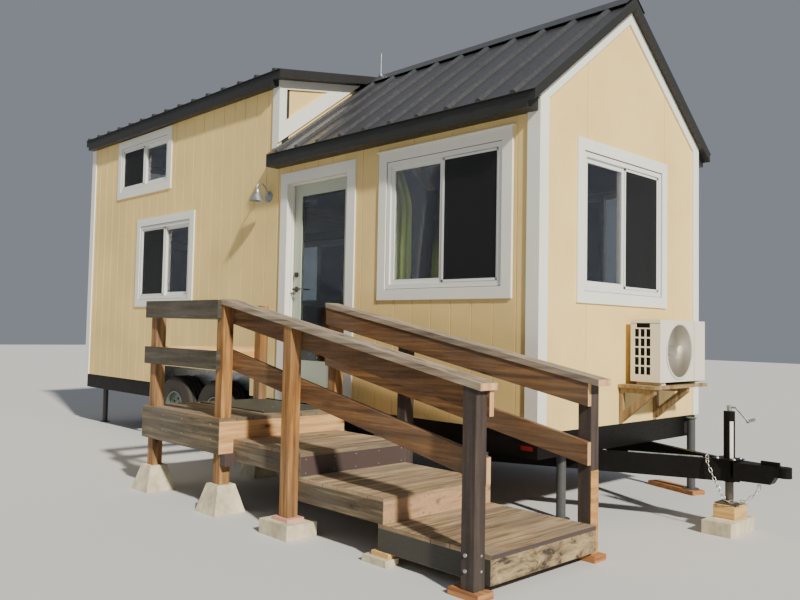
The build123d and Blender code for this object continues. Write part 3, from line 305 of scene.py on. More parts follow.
def screen_material():
    """Fine dark mesh, seen through a little."""
    s = Shader("insect_screen")
    weave = s.noise((600, 600, 600), detail=2)
    return s.finish(srgb(12, 13, 15), s.span(weave, 0.3, 0.7, 0.5, 0.7), Alpha=0.8)


def cloth_material():
    """Woven green-yellow cloth with a soft sheen, and light and dark bands painted as the shade of
    its folds.
    """
    s = Shader("curtain_cloth")
    weave = s.noise((900, 900, 900), detail=2)
    # Painted shade: light and dark vertical bands that stand for the folds' shading
    painted_fold_shade = s.noise((12, 12, 1), detail=3)
    tint = s.ramp(painted_fold_shade, [(0.3, srgb(188, 212, 70)), (0.7, srgb(222, 238, 104))])
    roughness = s.span(weave, 0.3, 0.7, 0.75, 0.95)
    return s.finish(tint, roughness, weave, 0.3, 0.0006, Sheen_Weight=0.3)


def marker_material():
    """Red marker lens with fine ribs."""
    s = Shader("marker_lens")
    ribs = s.noise((260, 3, 3), detail=1)
    roughness = s.span(ribs, 0.3, 0.7, 0.1, 0.25)
    return s.finish(srgb(150, 14, 12), roughness, ribs, 0.4, 0.001, Transmission_Weight=0.3)


WALL_SKIN = 0.03


def wall_material():
    """Siding paint outside; on the room side, a dark colour painted as the shade of an unlit room.
    """
    s = Shader("siding_and_painted_room_shade")
    inside = 1.0
    for axis, low, high in (("X", X0, X0 + LENGTH), ("Y", Y0, Y0 + WIDTH)):
        place = s.axis(axis)
        inside = s.math("MULTIPLY", s.math("GREATER_THAN", place, low + WALL_SKIN), inside)
        inside = s.math("MULTIPLY", s.math("LESS_THAN", place, high - WALL_SKIN), inside)
    grain = s.noise((24, 24, 0.9), detail=6)
    outer = s.ramp(grain, [(0.35, srgb(232, 206, 142)), (0.65, srgb(248, 224, 164))])
    # Room side: a dark colour painted as the shade of an unlit room
    inner = s.ramp(grain, [(0.35, srgb(40, 36, 31)), (0.65, srgb(54, 48, 42))])
    return s.finish(s.mix(inside, outer, inner), 0.6, grain, 0.2, 0.001)


# Finishes that the added pieces use too
SIDING = paint("siding_paint", (238, 208, 136), 0.12, 0.5, (26, 26, 0.8), 0.2, 0.35)
TRIM = paint("trim_paint", (236, 234, 222), 0.05, 0.4, (12, 12, 4), 0.1, 0.15)
VINYL = paint("frame_vinyl", (228, 228, 222), 0.03, 0.32)
GALVANISED = metal("galvanised", (176, 180, 180), 0.38, 0.85)
CHAIN_ZINC = metal("chain_zinc", (196, 196, 190), 0.36, 0.8, 0.3)
RUBBER = paint("tyre_rubber", (28, 27, 26), 0.25, 0.75, (20, 20, 20), 0.3)
AC_PLASTIC = paint("ac_plastic", (214, 207, 190), 0.05, 0.45)
AC_DARK = paint("ac_dark", (34, 33, 31), 0.1, 0.5)
CLOTH = cloth_material()
DARK_PAINT = paint("dark_riser_paint", (72, 58, 54), 0.12, 0.6, (30, 3, 30), 0.0, 0.2)
GREY_PAINT = paint("dark_side_paint", (62, 60, 52), 0.15, 0.65, (3, 30, 30), 0.0, 0.2)
SHIM_PAINT = paint("shim_paint", (212, 158, 138), 0.12, 0.6, (6, 30, 30))
PINK_RISER = peeling("pink_riser_paint", (128, 94, 70), (186, 148, 112), (172, 138, 98), 0.45)
WORN_RISER = peeling("worn_riser_paint", (58, 48, 38), (140, 120, 86), (174, 154, 116), 0.5)
PEELED_POST = peeling("peeled_post_timber", (52, 38, 28), (168, 116, 58), (190, 142, 84), 0.4)

# Timbers: grain axis, dark, middle and light tones, and how far each has weathered
WOODS = {
    "ply": ("X", (120, 90, 58), (160, 124, 82), (184, 150, 106), 0.1),
    "landing_timber": ("X", (64, 50, 34), (118, 98, 70), (160, 138, 106), 0.5),
    "step_timber": ("Y", (84, 66, 44), (146, 122, 90), (190, 166, 130), 0.45),
    "amber_post_timber": ("Z", (78, 48, 18), (142, 98, 46), (182, 138, 82), 0.25),
    "brown_post_timber": ("Z", (34, 26, 21), (54, 43, 37), (76, 62, 52), 0.1),
    "rail_timber": ("X", (58, 36, 16), (104, 70, 36), (142, 102, 58), 0.25),
    "level_rail_timber": ("X", (40, 36, 27), (64, 58, 44), (92, 84, 66), 0.3),
    "cap_timber": ("X", (88, 74, 60), (146, 128, 106), (186, 168, 144), 0.45),
    "block_timber": ("Y", (150, 108, 54), (206, 164, 98), (228, 196, 134), 0.08),
    "bracket_timber": ("Z", (96, 76, 46), (144, 118, 78), (178, 150, 106), 0.2),
    "new_pine": ("Y", (178, 126, 66), (216, 168, 102), (234, 196, 138), 0.04),
    "light_riser_timber": ("Y", (150, 104, 56), (200, 154, 98), (222, 184, 130), 0.12),
    "worn_side_timber": ("X", (44, 36, 25), (88, 75, 54), (140, 124, 94), 0.35),
    "bare_end_timber": ("Z", (164, 118, 76), (206, 162, 116), (226, 190, 150), 0.05),
    "plank_timber": ("X", (116, 70, 34), (172, 112, 60), (200, 144, 90), 0.15),
}
LANDING_LOW, LANDING_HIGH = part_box("landing")
STEPS_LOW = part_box("steps")[0]
BOARDS = {
    "landing_timber": ("Y", 0.1525, LANDING_LOW.y),
    "step_timber": ("X", 0.1594, STEPS_LOW.x),
}
WOOD = {name: timber(name, *look, BOARDS.get(name)) for name, look in WOODS.items()}

# The finish of each slot; some woods are named after theirs
FINISH = {
    **WOOD,
    "siding": wall_material(),
    "white_trim": TRIM,
    "white_vinyl": VINYL,
    "roof_metal": paint("roof_sheet_paint", (66, 66, 68), 0.16, 0.36, (5, 5, 5), 0.0, 0.06, 0.25),
    "fascia": paint("fascia_paint", (36, 36, 34), 0.15, 0.5),
    "window_glass": glass("window_glass", (0.34, 0.39, 0.42, 1), 0.4),
    "door_glass": glass("door_glass", (0.7, 0.79, 0.8, 1), 0.85),
    "door_paint": paint("door_paint", (180, 188, 170), 0.05, 0.38),
    "door_metal": metal("door_hardware", (74, 66, 56), 0.35, 0.9),
    "frame_black": paint("frame_paint", (11, 11, 11), 0.3, 0.46, (8, 8, 8), 0.03, shine=0.16),
    "jack_steel": metal("worn_steel", (110, 104, 94), 0.42, 0.7, 0.6),
    "galvanised": GALVANISED,
    "leg_paint": paint("leg_paint", (62, 66, 70), 0.2, 0.5, (8, 8, 8), 0.2),
    "concrete": concrete("cast_concrete", (222, 210, 176)),
    "plywood": WOOD["ply"],
    "post_timber": WOOD["amber_post_timber"],
    "deck_timber": WOOD["landing_timber"],
    "dark_timber": paint(
        "dark_board_paint", (60, 62, 54), 0.18, 0.62, (14, 14, 14), 0.0, 0.3, shine=0.3,
    ),
    "ac_paint": paint("ac_paint", (226, 218, 200), 0.04, 0.4),
    "ac_plastic": AC_PLASTIC,
    "tyre_rubber": RUBBER,
    "rim_steel": metal("rim_metal", (132, 142, 134), 0.5, 0.5, 0.25),
    "curtain_cloth": CLOTH,
}
NODE_FINISH = {"steps": WOOD["step_timber"], "ac_fan": AC_DARK, "loft_front_wall": SIDING}
SLOTS = {part["node"]: part["material_slot"] for part in frame["record"]["subparts"]}
for node, slot in SLOTS.items():
    nodes[node].data.materials.clear()
    nodes[node].data.materials.append(NODE_FINISH.get(node, FINISH[slot]))


def placed(name, data):
    """A new object in the scene."""
    obj = bpy.data.objects.new(name, data)
    bpy.context.scene.collection.objects.link(obj)
    return obj


def piece(name, points, faces, finish, body="root", smooth=False):
    """A new mesh piece in the row frame that rides on a body."""
    mesh = bpy.data.meshes.new(name)
    mesh.from_pydata([tuple(p) for p in points], [], faces)
    mesh.materials.append(finish)
    mesh.update()
    if smooth:
        mesh.shade_smooth()
    obj = placed(name, mesh)
    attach(obj, body)
    return obj


class Build:
    """Gathers points and faces of one piece."""

    def __init__(self):
        self.points = []
        self.faces = []

    def quads(self, first, count, rows, closed=True, wrap=False):
        """Faces between rows of points.

        closed joins the ends of each row, and wrap joins the last row to the first.
        """
        for row in range(rows if wrap else rows - 1):
            a = first + row * count
            b = first + (row + 1) % rows * count
            for k in range(count if closed else count - 1):
                m = (k + 1) % count
                self.faces.append((a + k, a + m, b + m, b + k))

    def caps(self, first, count, rows):
        """Flat faces over the first and the last row of points."""
        last = first + (rows - 1) * count
        self.faces.append(tuple(range(first, first + count))[::-1])
        self.faces.append(tuple(range(last, last + count)))

    def prism(self, outline, offset):
        """A closed prism: an outline of points, and the vector to its far face."""
        outline = [Vector(p) for p in outline]
        normal = (outline[1] - outline[0]).cross(outline[2] - outline[1])
        if normal.dot(offset) < 0:
            outline.reverse()
        first = len(self.points)
        self.points += outline + [p + offset for p in outline]
        self.caps(first, len(outline), 2)
        self.quads(first, len(outline), 2)

    def upright(self, start, end, bottom, top, offset, end_top=None):
        """A prism that stands on edge from start to end, with a level or a sloping top."""
        far = top if end_top is None else end_top
        corners = ((start, bottom), (end, bottom), (end, far), (start, top))
        self.prism([place + z * AXIS_Z for place, z in corners], offset)

    def box(self, low, high):
        """A box between two corners."""
        x0, y0, z0 = low
        x1, y1, z1 = high
        outline = [(x0, y0, z0), (x1, y0, z0), (x1, y1, z0), (x0, y1, z0)]
        self.prism(outline, Vector((0, 0, z1 - z0)))

    def tube(self, path, radius, sides, closed=False):
        """A round tube along points."""
        first = len(self.points)
        count = len(path)
        normal = None
        for i, point in enumerate(path):
            before = path[i - 1] if i or closed else path[i]
            after = path[(i + 1) % count] if i < count - 1 or closed else path[i]
            along = (Vector(after) - Vector(before)).normalized()
            if normal is None:
                normal = along.orthogonal().normalized()
            normal = (normal - along * normal.dot(along)).normalized()
            side = along.cross(normal)
            for across, up in circle(sides):
                self.points.append(Vector(point) + radius * (across * normal + up * side))
        self.quads(first, sides, count, wrap=closed)
        if not closed:
            self.caps(first, sides, count)

    def dome(self, centre, out, radius, height, sides=8):
        """A low round head, such as a bolt or nail, on a face that looks along out."""
        side = out.orthogonal().normalized()
        other = out.cross(side)
        first = len(self.points)
        for spread, rise in HEAD_PROFILE:
            for across, up in circle(sides):
                place = radius * spread * (across * side + up * other)
                self.points.append(Vector(centre) + place + out * height * rise)
        self.quads(first, sides, len(HEAD_PROFILE))
        self.caps(first, sides, len(HEAD_PROFILE))

    def done(self, name, finish, body="root", smooth=False):
        """The piece made of what was gathered."""
        return piece(name, self.points, self.faces, finish, body, smooth)


HEAD_PROFILE = ((1.0, 0.0), (0.85, 0.6), (0.45, 1.0))


def circle(count):
    """Cosine and sine of evenly spaced turns, once round."""
    turns = [2 * math.pi * k / count for k in range(count)]
    return [(math.cos(turn), math.sin(turn)) for turn in turns]


def islands(node):
    """Boxes of the separate solids of a CAD node, as (low, high) corners."""
    mesh = nodes[node].data
    parent = list(range(len(mesh.vertices)))

    def root(i):
        while parent[i] != i:
            parent[i] = parent[parent[i]]
            i = parent[i]
        return i

    seen = {}
    for i, vertex in enumerate(mesh.vertices):
        key = tuple(round(c, 5) for c in vertex.co)
        if key in seen:
            parent[root(i)] = root(seen[key])
        else:
            seen[key] = i
    for edge in mesh.edges:
        a, b = edge.vertices
        parent[root(a)] = root(b)
    groups = {}
    for i, vertex in enumerate(mesh.vertices):
        groups.setdefault(root(i), []).append(vertex.co)
    boxes = []
    for points in groups.values():
        axes = list(zip(*points))
        boxes.append((Vector([min(axis) for axis in axes]), Vector([max(axis) for axis in axes])))
    return boxes


# Grooved siding panels over the walls: strips between grooves, cut round the openings
PANEL = 0.005
GROOVE_WIDTH = 0.010
GROOVE_PITCH = 0.2032
SIDE_GROOVE = 0.0224
REAR_GROOVE = 0.102
SHEET_JOINT = 0.6096
JOINT = 0.004
TRIM_WIDTH = 0.089
SLIVER = 0.002
ON_SIDE = 0.09
ON_END = 0.06
MAIN_PITCH = 0.75
LOFT_PITCH = 1 / 6
casing_boxes = islands("window_casings")
gable_boxes = islands("gable_trim")
loft_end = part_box("main_roof")[0].x
main_top_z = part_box("door_header")[1].z
loft_top_z = NEAR_HIGH.z
door_low, door_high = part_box("door_frame")
notch_low, notch_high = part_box("wheel_wells")


def strips(name, spans, top, bend, holes, corner, along, out):
    """Siding on one wall: spans along it, up to a top line and cut round the holes.

    top gives the height at a place along the wall, and bend is where that line turns.
    """
    panel = Build()
    edges = [bend] + [edge for hole in holes for edge in hole[:2]]
    for start, end in spans:
        breaks = sorted({start, end}.union(edge for edge in edges if start < edge < end))
        for a, b in zip(breaks, breaks[1:]):
            if b - a < 1e-4:
                continue
            pieces = [(SILL, None)]
            for low, high, z0, z1 in sorted(holes, key=lambda hole: hole[2]):
                if not low <= (a + b) / 2 <= high:
                    continue
                base = pieces.pop()[0]
                if z0 > base:
                    pieces.append((base, z0))
                pieces.append((max(base, z1), None))
            for z0, z1 in pieces:
                top_a = top(a + 1e-5) if z1 is None else z1
                top_b = top(b - 1e-5) if z1 is None else z1
                if min(top_a, top_b) - z0 >= SLIVER:
                    ends = (corner + along * a, corner + along * b)
                    panel.upright(*ends, z0, top_a, out * PANEL, top_b)
    panel.done(name, SIDING)


def groove_spans(length, groove):
    """Stretches between the siding grooves along a wall, from the first groove's place."""
    spans = []
    place = 0.0
    while groove < length:
        if groove - GROOVE_WIDTH / 2 > place:
            spans.append((place, groove - GROOVE_WIDTH / 2))
        place = groove + GROOVE_WIDTH / 2
        groove += GROOVE_PITCH
    spans.append((place, length))
    return spans


def side_holes(near):
    """Casings, boards, door and wheel opening on one long side, along X from the rear."""
    holes = []
    for low, high in casing_boxes + islands("corner_boards") + gable_boxes:
        if high.x - low.x < 0.03 or high.y - low.y > 0.8:
            continue
        touches = abs(high.y - NEAR_LOW.y if near else low.y - FAR_HIGH.y) < ON_SIDE
        is_cheek = high.x > loft_end + 0.01 and low.x < loft_end - 0.01 and low.z > main_top_z - 1
        if touches and not is_cheek:
            holes.append((low.x - X0, min(high.x, FAR_HIGH.x) - X0, low.z, high.z))
    holes.append((notch_low.x - X0, notch_high.x - X0, SILL - 0.01, notch_high.z))
    if near:
        holes.append((door_low.x - X0, door_high.x - X0, door_low.z - 0.01, door_high.z))
    return holes


def end_holes(face_x):
    """Casings on an end wall, along Y from the door side."""
    holes = []
    for low, high in casing_boxes:
        if high.x - low.x < ON_END and abs((low.x + high.x) / 2 - face_x) < ON_END:
            holes.append((low.y - Y0, high.y - Y0, low.z, high.z))
    return holes


def side_top(x):
    """Height of a long side's top: the loft's at the rear, the main wall's in front of it."""
    return loft_top_z if x < loft_end - X0 else main_top_z


def gable_top(rake_box, pitch):
    """The slope of a gable along Y, which starts from the top of its rake boards."""
    apex = rake_box[1].z
    return lambda y: apex - pitch * abs(y - HALF)


for name, near, face, outward in (
    ("siding_near", True, NEAR_LOW.y, -AXIS_Y), ("siding_far", False, FAR_HIGH.y, AXIS_Y),
):
    strips(
        name, groove_spans(LENGTH, SIDE_GROOVE), side_top, loft_end - X0, side_holes(near),
        Vector((X0, face, 0)), AXIS_X, outward,
    )
front_spans = [
    (TRIM_WIDTH, HALF - SHEET_JOINT - JOINT / 2),
    (HALF - SHEET_JOINT + JOINT / 2, HALF + SHEET_JOINT - JOINT / 2),
    (HALF + SHEET_JOINT + JOINT / 2, WIDTH - TRIM_WIDTH),
]
rear_spans = [
    (max(a, TRIM_WIDTH), min(b, WIDTH - TRIM_WIDTH))
    for a, b in groove_spans(WIDTH, REAR_GROOVE)
    if b > TRIM_WIDTH and a < WIDTH - TRIM_WIDTH
]
front_top = gable_top(max(gable_boxes, key=lambda box: box[0].x), MAIN_PITCH)
rear_top = gable_top(min(gable_boxes, key=lambda box: box[0].x), LOFT_PITCH)
for name, spans, top, face, outward in (
    ("siding_front", front_spans, front_top, FAR_HIGH.x, AXIS_X),
    ("siding_rear", rear_spans, rear_top, X0, -AXIS_X),
):
    strips(name, spans, top, HALF, end_holes(face), Vector((face, Y0, 0)), AXIS_Y, outward)

# Window details: insect screens in their frames, and a dark strip painted as the shadow line
# between frame and casing
RAIL = 0.042
SCREEN_SIDE_GAP = 0.006
SCREEN_END_GAP = 0.004
SCREEN_BACK = 0.008
SCREEN_BAR = 0.018
SCREEN_DEPTH = 0.004
MESH_BACK = 0.002
MESH_THICKNESS = 0.0008
REAR_WINDOWS_END = 3.2
# Dark strip painted as the shadow line round each window frame: its width, lift and depth
SHADOW_LINE_WIDTH = 0.004
SHADOW_LINE_RISE = 0.0012
SHADOW_LINE_DEPTH = 0.002


def window_face(low, high):
    """Which way a window looks, its right, the middle of its outer face, and its width."""
    if high.x - low.x > high.y - low.y:
        near = low.y < CENTRE_Y
        out = -AXIS_Y if near else AXIS_Y
        centre = Vector(((low.x + high.x) / 2, low.y if near else high.y, 0))
        size = high.x - low.x
    else:
        front = low.x > X0 + LENGTH / 2
        out = AXIS_X if front else -AXIS_X
        centre = Vector((high.x if front else low.x, (low.y + high.y) / 2, 0))
        size = high.y - low.y
    return out, Vector((-out.y, out.x, 0)), centre, size


def frame_bars(build, corner, across, z0, z1, bar, offset):
    """The four bars of a frame that starts at a corner and reaches across."""
    bar_across = across.normalized() * bar
    build.upright(corner, corner + across, z0, z0 + bar, offset)
    build.upright(corner, corner + across, z1 - bar, z1, offset)
    build.upright(corner, corner + bar_across, z0, z1, offset)
    build.upright(corner + across - bar_across, corner + across, z0, z1, offset)


screens = Build()
screen_frames = Build()
shadow_lines = Build()
for low, high in islands("window_frames"):
    out, right, centre, size = window_face(low, high)
    # Painted shadow line round the frame, on the casing
    corner = centre - right * size / 2 + out * SHADOW_LINE_RISE
    frame_bars(shadow_lines, corner, right * size, low.z, high.z, SHADOW_LINE_WIDTH, -out * SHADOW_LINE_DEPTH)
    half_side = -1 if centre.x < X0 + REAR_WINDOWS_END else 1
    width = size / 2 - RAIL - 2 * SCREEN_SIDE_GAP
    z0 = low.z + RAIL + SCREEN_END_GAP
    z1 = high.z - RAIL - SCREEN_END_GAP
    middle = centre + right * half_side * (size / 4 - RAIL / 2 + SCREEN_SIDE_GAP)
    corner = middle - out * SCREEN_BACK - right * width / 2
    frame_bars(screen_frames, corner, right * width, z0, z1, SCREEN_BAR, -out * SCREEN_DEPTH)
    inner = corner + right * SCREEN_BAR - out * MESH_BACK
    screens.upright(
        inner, inner + right * (width - 2 * SCREEN_BAR), z0 + SCREEN_BAR, z1 - SCREEN_BAR,
        -out * MESH_THICKNESS,
    )
screen_frames.done("screen_frames", VINYL)
screens.done("insect_screens", screen_material())
shadow_lines.done("window_frame_shadow_lines", AC_DARK)

# Curtain: gathered cloth that hangs from the rod in soft folds
FOLDS = 4
COLUMNS = 96
ROWS = 40
TOP_WIDTH = 0.42
GATHERED_LENGTH = 0.3
cloth_low, cloth_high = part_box("curtain")
cloth_width = cloth_high.x - cloth_low.x
cloth_length = cloth_high.z - cloth_low.z
cloth_mid_y = (cloth_low.y + cloth_high.y) / 2
fold_depth = (cloth_high.y - cloth_low.y) / 2 - 0.002
cloth = Build()
for row in range(ROWS + 1):
    down = row / ROWS
    swing = 0.75 + 0.25 * math.sin(down * 2.2)
    gather = TOP_WIDTH + (1 - TOP_WIDTH) * min(1.0, down / GATHERED_LENGTH) ** 0.7
    for column in range(COLUMNS + 1):
        across = column / COLUMNS
        phase = across * FOLDS * 2 * math.pi
        lean = 0.004 * math.sin(down * 5 + across * 9)
        x = cloth_low.x + across * cloth_width * gather + lean
        y = cloth_mid_y + fold_depth * swing * math.sin(phase + 0.5 * math.sin(down * 3))
        x = min(max(x, cloth_low.x), cloth_high.x)
        cloth.points.append(Vector((x, y, cloth_high.z - down * cloth_length)))
cloth.quads(0, COLUMNS + 1, ROWS + 1, closed=False)
curtain = cloth.done("curtain_cloth_panel", CLOTH, smooth=True)
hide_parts("curtain")

# Tyre tread, sidewall ribs and wheel nuts
BEAD = 0.205
STEPS_ROUND = 72
DISC_DEPTH = 0.050
NUTS = 6
NUT_CIRCLE = 0.07
for node_name in [n for n in nodes if n.startswith("tyre_")]:
    low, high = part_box(node_name)
    body = node_name.replace("tyre_", "wheel_")
    centre = (low + high) / 2
    outer = (high.z - low.z) / 2
    width = high.y - low.y
    profile = [
        (BEAD, 0.45), (BEAD + 0.02, 0.485), (BEAD + 0.05, 0.5), (BEAD + 0.09, 0.497),
        (BEAD + 0.095, 0.488), (outer - 0.05, 0.492), (outer - 0.028, 0.478), (outer - 0.012, 0.44),
        (outer - 0.004, 0.39), (outer, 0.34), (outer, 0.235), (outer - 0.009, 0.23),
        (outer - 0.009, 0.19), (outer, 0.185), (outer, 0.055), (outer - 0.009, 0.05),
    ]
    section = [(radius, -across) for radius, across in profile] + profile[::-1]
    tyre = Build()
    for forward, up in circle(STEPS_ROUND):
        for radius, across in section:
            tyre.points.append(centre + Vector((radius * forward, across * width, radius * up)))
    tyre.quads(0, len(section), STEPS_ROUND, wrap=True)
    tyre_piece = tyre.done(node_name + "_tread", RUBBER, body, True)
    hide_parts(node_name)
    rim_low, rim_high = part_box(node_name.replace("tyre_", "rim_"))
    near_side = centre.y < CENTRE_Y
    out = -AXIS_Y if near_side else AXIS_Y
    disc_y = rim_low.y + DISC_DEPTH if near_side else rim_high.y - DISC_DEPTH
    nuts = Build()
    for i in range(NUTS):
        turn = 2 * math.pi * i / NUTS + 0.3
        across = centre.x + NUT_CIRCLE * math.cos(turn)
        nuts.dome((across, disc_y, centre.z + NUT_CIRCLE * math.sin(turn)), out, 0.011, 0.02, 6)
    nuts.done(node_name.replace("tyre_", "nuts_"), GALVANISED, body)

# Chain: real links along the plain strand's route
LINK_LENGTH = 0.040
LINK_WIDTH = 0.026
LINK_WIRE = 0.0036
CHAIN_START = 0.012
CHAIN_ROUTE = [
    (7.984, 1.170, 0.5003), (7.992, 1.130, 0.514), (8.002, 1.102, 0.484), (8.018, 1.094, 0.442),
    (8.060, 1.092, 0.351), (8.129, 1.086, 0.233), (8.188, 1.090, 0.223), (8.253, 1.111, 0.235),
    (8.300, 1.153, 0.277), (8.322, 1.181, 0.315), (8.325, 1.183, 0.340), (8.325, 1.183, 0.3595),
]


def smooth_route(route, per_span=12):
    """Catmull-Rom points through the route."""
    result = []
    for i in range(len(route) - 1):
        before = route[max(i - 1, 0)]
        start = route[i]
        end = route[i + 1]
        after = route[min(i + 2, len(route) - 1)]
        for k in range(per_span):
            t = k / per_span
            point = 2 * start + (end - before) * t
            point += (2 * before - 5 * start + 4 * end - after) * t * t
            point += (3 * start - before - 3 * end + after) * t * t * t
            result.append(0.5 * point)
    result.append(route[-1])
    return result


strand = smooth_route([house(*p) for p in CHAIN_ROUTE])
lengths = [0.0]
for a, b in zip(strand, strand[1:]):
    lengths.append(lengths[-1] + (b - a).length)


def at_length(distance):
    """Point and direction along the strand."""
    for i in range(len(strand) - 1):
        if lengths[i + 1] >= distance:
            part = (distance - lengths[i]) / max(lengths[i + 1] - lengths[i], 1e-9)
            along = (strand[i + 1] - strand[i]).normalized()
            return strand[i].lerp(strand[i + 1], part), along
    return strand[-1], (strand[-1] - strand[-2]).normalized()


chain = Build()
link_step = LINK_LENGTH - 2 * LINK_WIRE
bend_radius = LINK_WIDTH / 2 - LINK_WIRE
straight = (LINK_LENGTH - LINK_WIDTH) / 2
link_count = int((lengths[-1] - 0.01) // link_step)
for i in range(link_count):
    place, along = at_length(CHAIN_START + (i + 0.5) * link_step)
    side = along.cross(Vector((0, 0.3, 1))).normalized()
    other = along.cross(side).normalized()
    across = side if i % 2 else other
    ring = []
    for k in range(16):
        turn = 2 * math.pi * (k + 0.5) / 16
        forward = bend_radius * math.cos(turn)
        forward += straight if math.cos(turn) > 0 else -straight
        ring.append(place + along * forward + across * bend_radius * math.sin(turn))
    chain.tube(ring, LINK_WIRE, 6, closed=True)
chain_piece = chain.done("safety_chain_links", CHAIN_ZINC, smooth=True)
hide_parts("safety_chain")

# Air conditioner: swirl of thin vanes over the fan opening, and coil fins behind the louvres
VANES = 36
VANE_POINTS = 12
HUB = 0.2
RING_BARS = (1.0, 0.94)
RING_STEPS = 64
HUB_STEPS = 40
BEZEL = ((0.0, 0.0), (0.002, 0.006), (0.016, 0.0055), (0.018, 0.0))
FIN_COUNT = 46
grille_low, grille_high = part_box("ac_grille")
grille_centre = (grille_low + grille_high) / 2
grille_radius = (grille_high.z - grille_low.z) / 2
front_x = grille_low.x + 0.001
grille = Build()


def grille_point(radius, across, up, x):
    """A point of the grille, from the cosine and sine of its turn."""
    return Vector((x, grille_centre.y + radius * across, grille_centre.z + radius * up))


for i in range(VANES):
    start_turn = 2 * math.pi * i / VANES
    path = []
    for k in range(VANE_POINTS + 1):
        part = k / VANE_POINTS
        radius = grille_radius * (HUB + 0.74 * part)
        turn = start_turn + 1.25 * part ** 1.2
        path.append(grille_point(radius, math.cos(turn), math.sin(turn), front_x + 0.003))
    grille.tube(path, 0.0019, 5)
for part in RING_BARS:
    radius = grille_radius * part - 0.003
    ring = [grille_point(radius, *turn, front_x + 0.003) for turn in circle(RING_STEPS)]
    grille.tube(ring, 0.003, 6, closed=True)
hub = len(grille.points)
for x in (front_x, front_x + 0.005):
    for turn in circle(HUB_STEPS):
        grille.points.append(grille_point(grille_radius * HUB, *turn, x))
grille.quads(hub, HUB_STEPS, 2)
grille.caps(hub, HUB_STEPS, 2)
bezel = len(grille.points)
for inset, depth in BEZEL:
    for turn in circle(RING_STEPS):
        grille.points.append(grille_point(grille_radius - inset, *turn, grille_low.x + depth))
grille.quads(bezel, RING_STEPS, len(BEZEL))
grille_piece = grille.done("ac_grille_vanes", AC_PLASTIC, smooth=True)
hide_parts("ac_grille")

ac_low, ac_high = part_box("ac_housing")
fins = Build()
coil_y = ac_low.y + 0.02
for i in range(FIN_COUNT):
    x = ac_low.x + 0.012 + i * (ac_high.x - ac_low.x - 0.03) / FIN_COUNT
    fins.box((x, coil_y, ac_low.z + 0.04), (x + 0.0015, coil_y + 0.02, ac_high.z - 0.02))
fins.done("ac_coil_fins", AC_DARK)
seams = Build()
seam_y = grille_centre.y + grille_radius + 0.03
if seam_y < ac_high.y - 0.01:
    seams.box(
        (ac_high.x - 0.0005, seam_y, ac_low.z + 0.03),
        (ac_high.x + 0.0008, seam_y + 0.003, ac_high.z - 0.004),
    )
seams.box((ac_low.x, ac_low.y - 0.0008, ac_high.z - 0.03), (ac_high.x, ac_low.y, ac_high.z - 0.027))
seams.done("ac_seams", AC_DARK)

# Painted and worn faces of the landing and steps, as skins over the rim boards
SKIN = 0.001
DECK = 0.025
INSET = 0.002
RISERS = (DARK_PAINT, PINK_RISER, WORN_RISER)
SIDES = (WOOD["worn_side_timber"], WOOD["worn_side_timber"], GREY_PAINT)
step_boxes = sorted(islands("steps"), key=lambda box: box[0].x)
landing_rim = LANDING_HIGH.z - DECK
STEP_X = STEPS_LOW.x


def front_skin(low, high, z0, z1, name, finish):
    """A skin on the face of a solid that looks along +X."""
    skin = Build()
    skin.box((high.x, low.y + INSET, z0), (high.x + SKIN, high.y - INSET, z1))
    skin.done(name, finish)


def side_skin(low, high, z1, name, finish):
    """A skin on the outer side of a platform."""
    skin = Build()
    skin.box((low.x + INSET, low.y - SKIN, low.z + INSET), (high.x - INSET, low.y, z1))
    skin.done(name, finish)


for index, (low, high) in enumerate(step_boxes):
    rim = high.z - DECK
    front_skin(low, high, low.z + INSET, rim, f"riser_{index + 1}", RISERS[index])
    side_skin(low, high, rim, f"step_side_{index + 1}", SIDES[index])
low, high = step_boxes[-1]
front_skin(low, high, high.z - DECK, high.z - 0.001, "last_nosing", DARK_PAINT)
front_skin(
    LANDING_LOW, LANDING_HIGH, LANDING_LOW.z + INSET, landing_rim, "landing_riser",
    WOOD["light_riser_timber"],
)
side_skin(LANDING_LOW, LANDING_HIGH, landing_rim, "landing_side", WOOD["worn_side_timber"])

# Bolts, nails and screws
INNER_ROW = Y0 - 0.6
OUTER_ROW = Y0 - 1.2
RISER_NAILS = [(along, drop) for along in (0.05, 0.3, 0.5, 0.72, 0.95) for drop in (0.02, 0.11)]
BOARD_WIDTH = 0.145
BOARD_NAILS = 0.035
post_boxes = islands("railing_posts")
last_post = max((box for box in post_boxes if box[0].y < OUTER_ROW), key=lambda box: box[0].x)
fasteners = Build()
for z in (0.135, 0.215):
    fasteners.dome((last_post[0].x + 0.03, last_post[0].y, z), -AXIS_Y, 0.013, 0.009)
    fasteners.dome((last_post[1].x, last_post[0].y + 0.06, z), AXIS_X, 0.009, 0.006)
fasteners.done("post_bolts", GALVANISED)

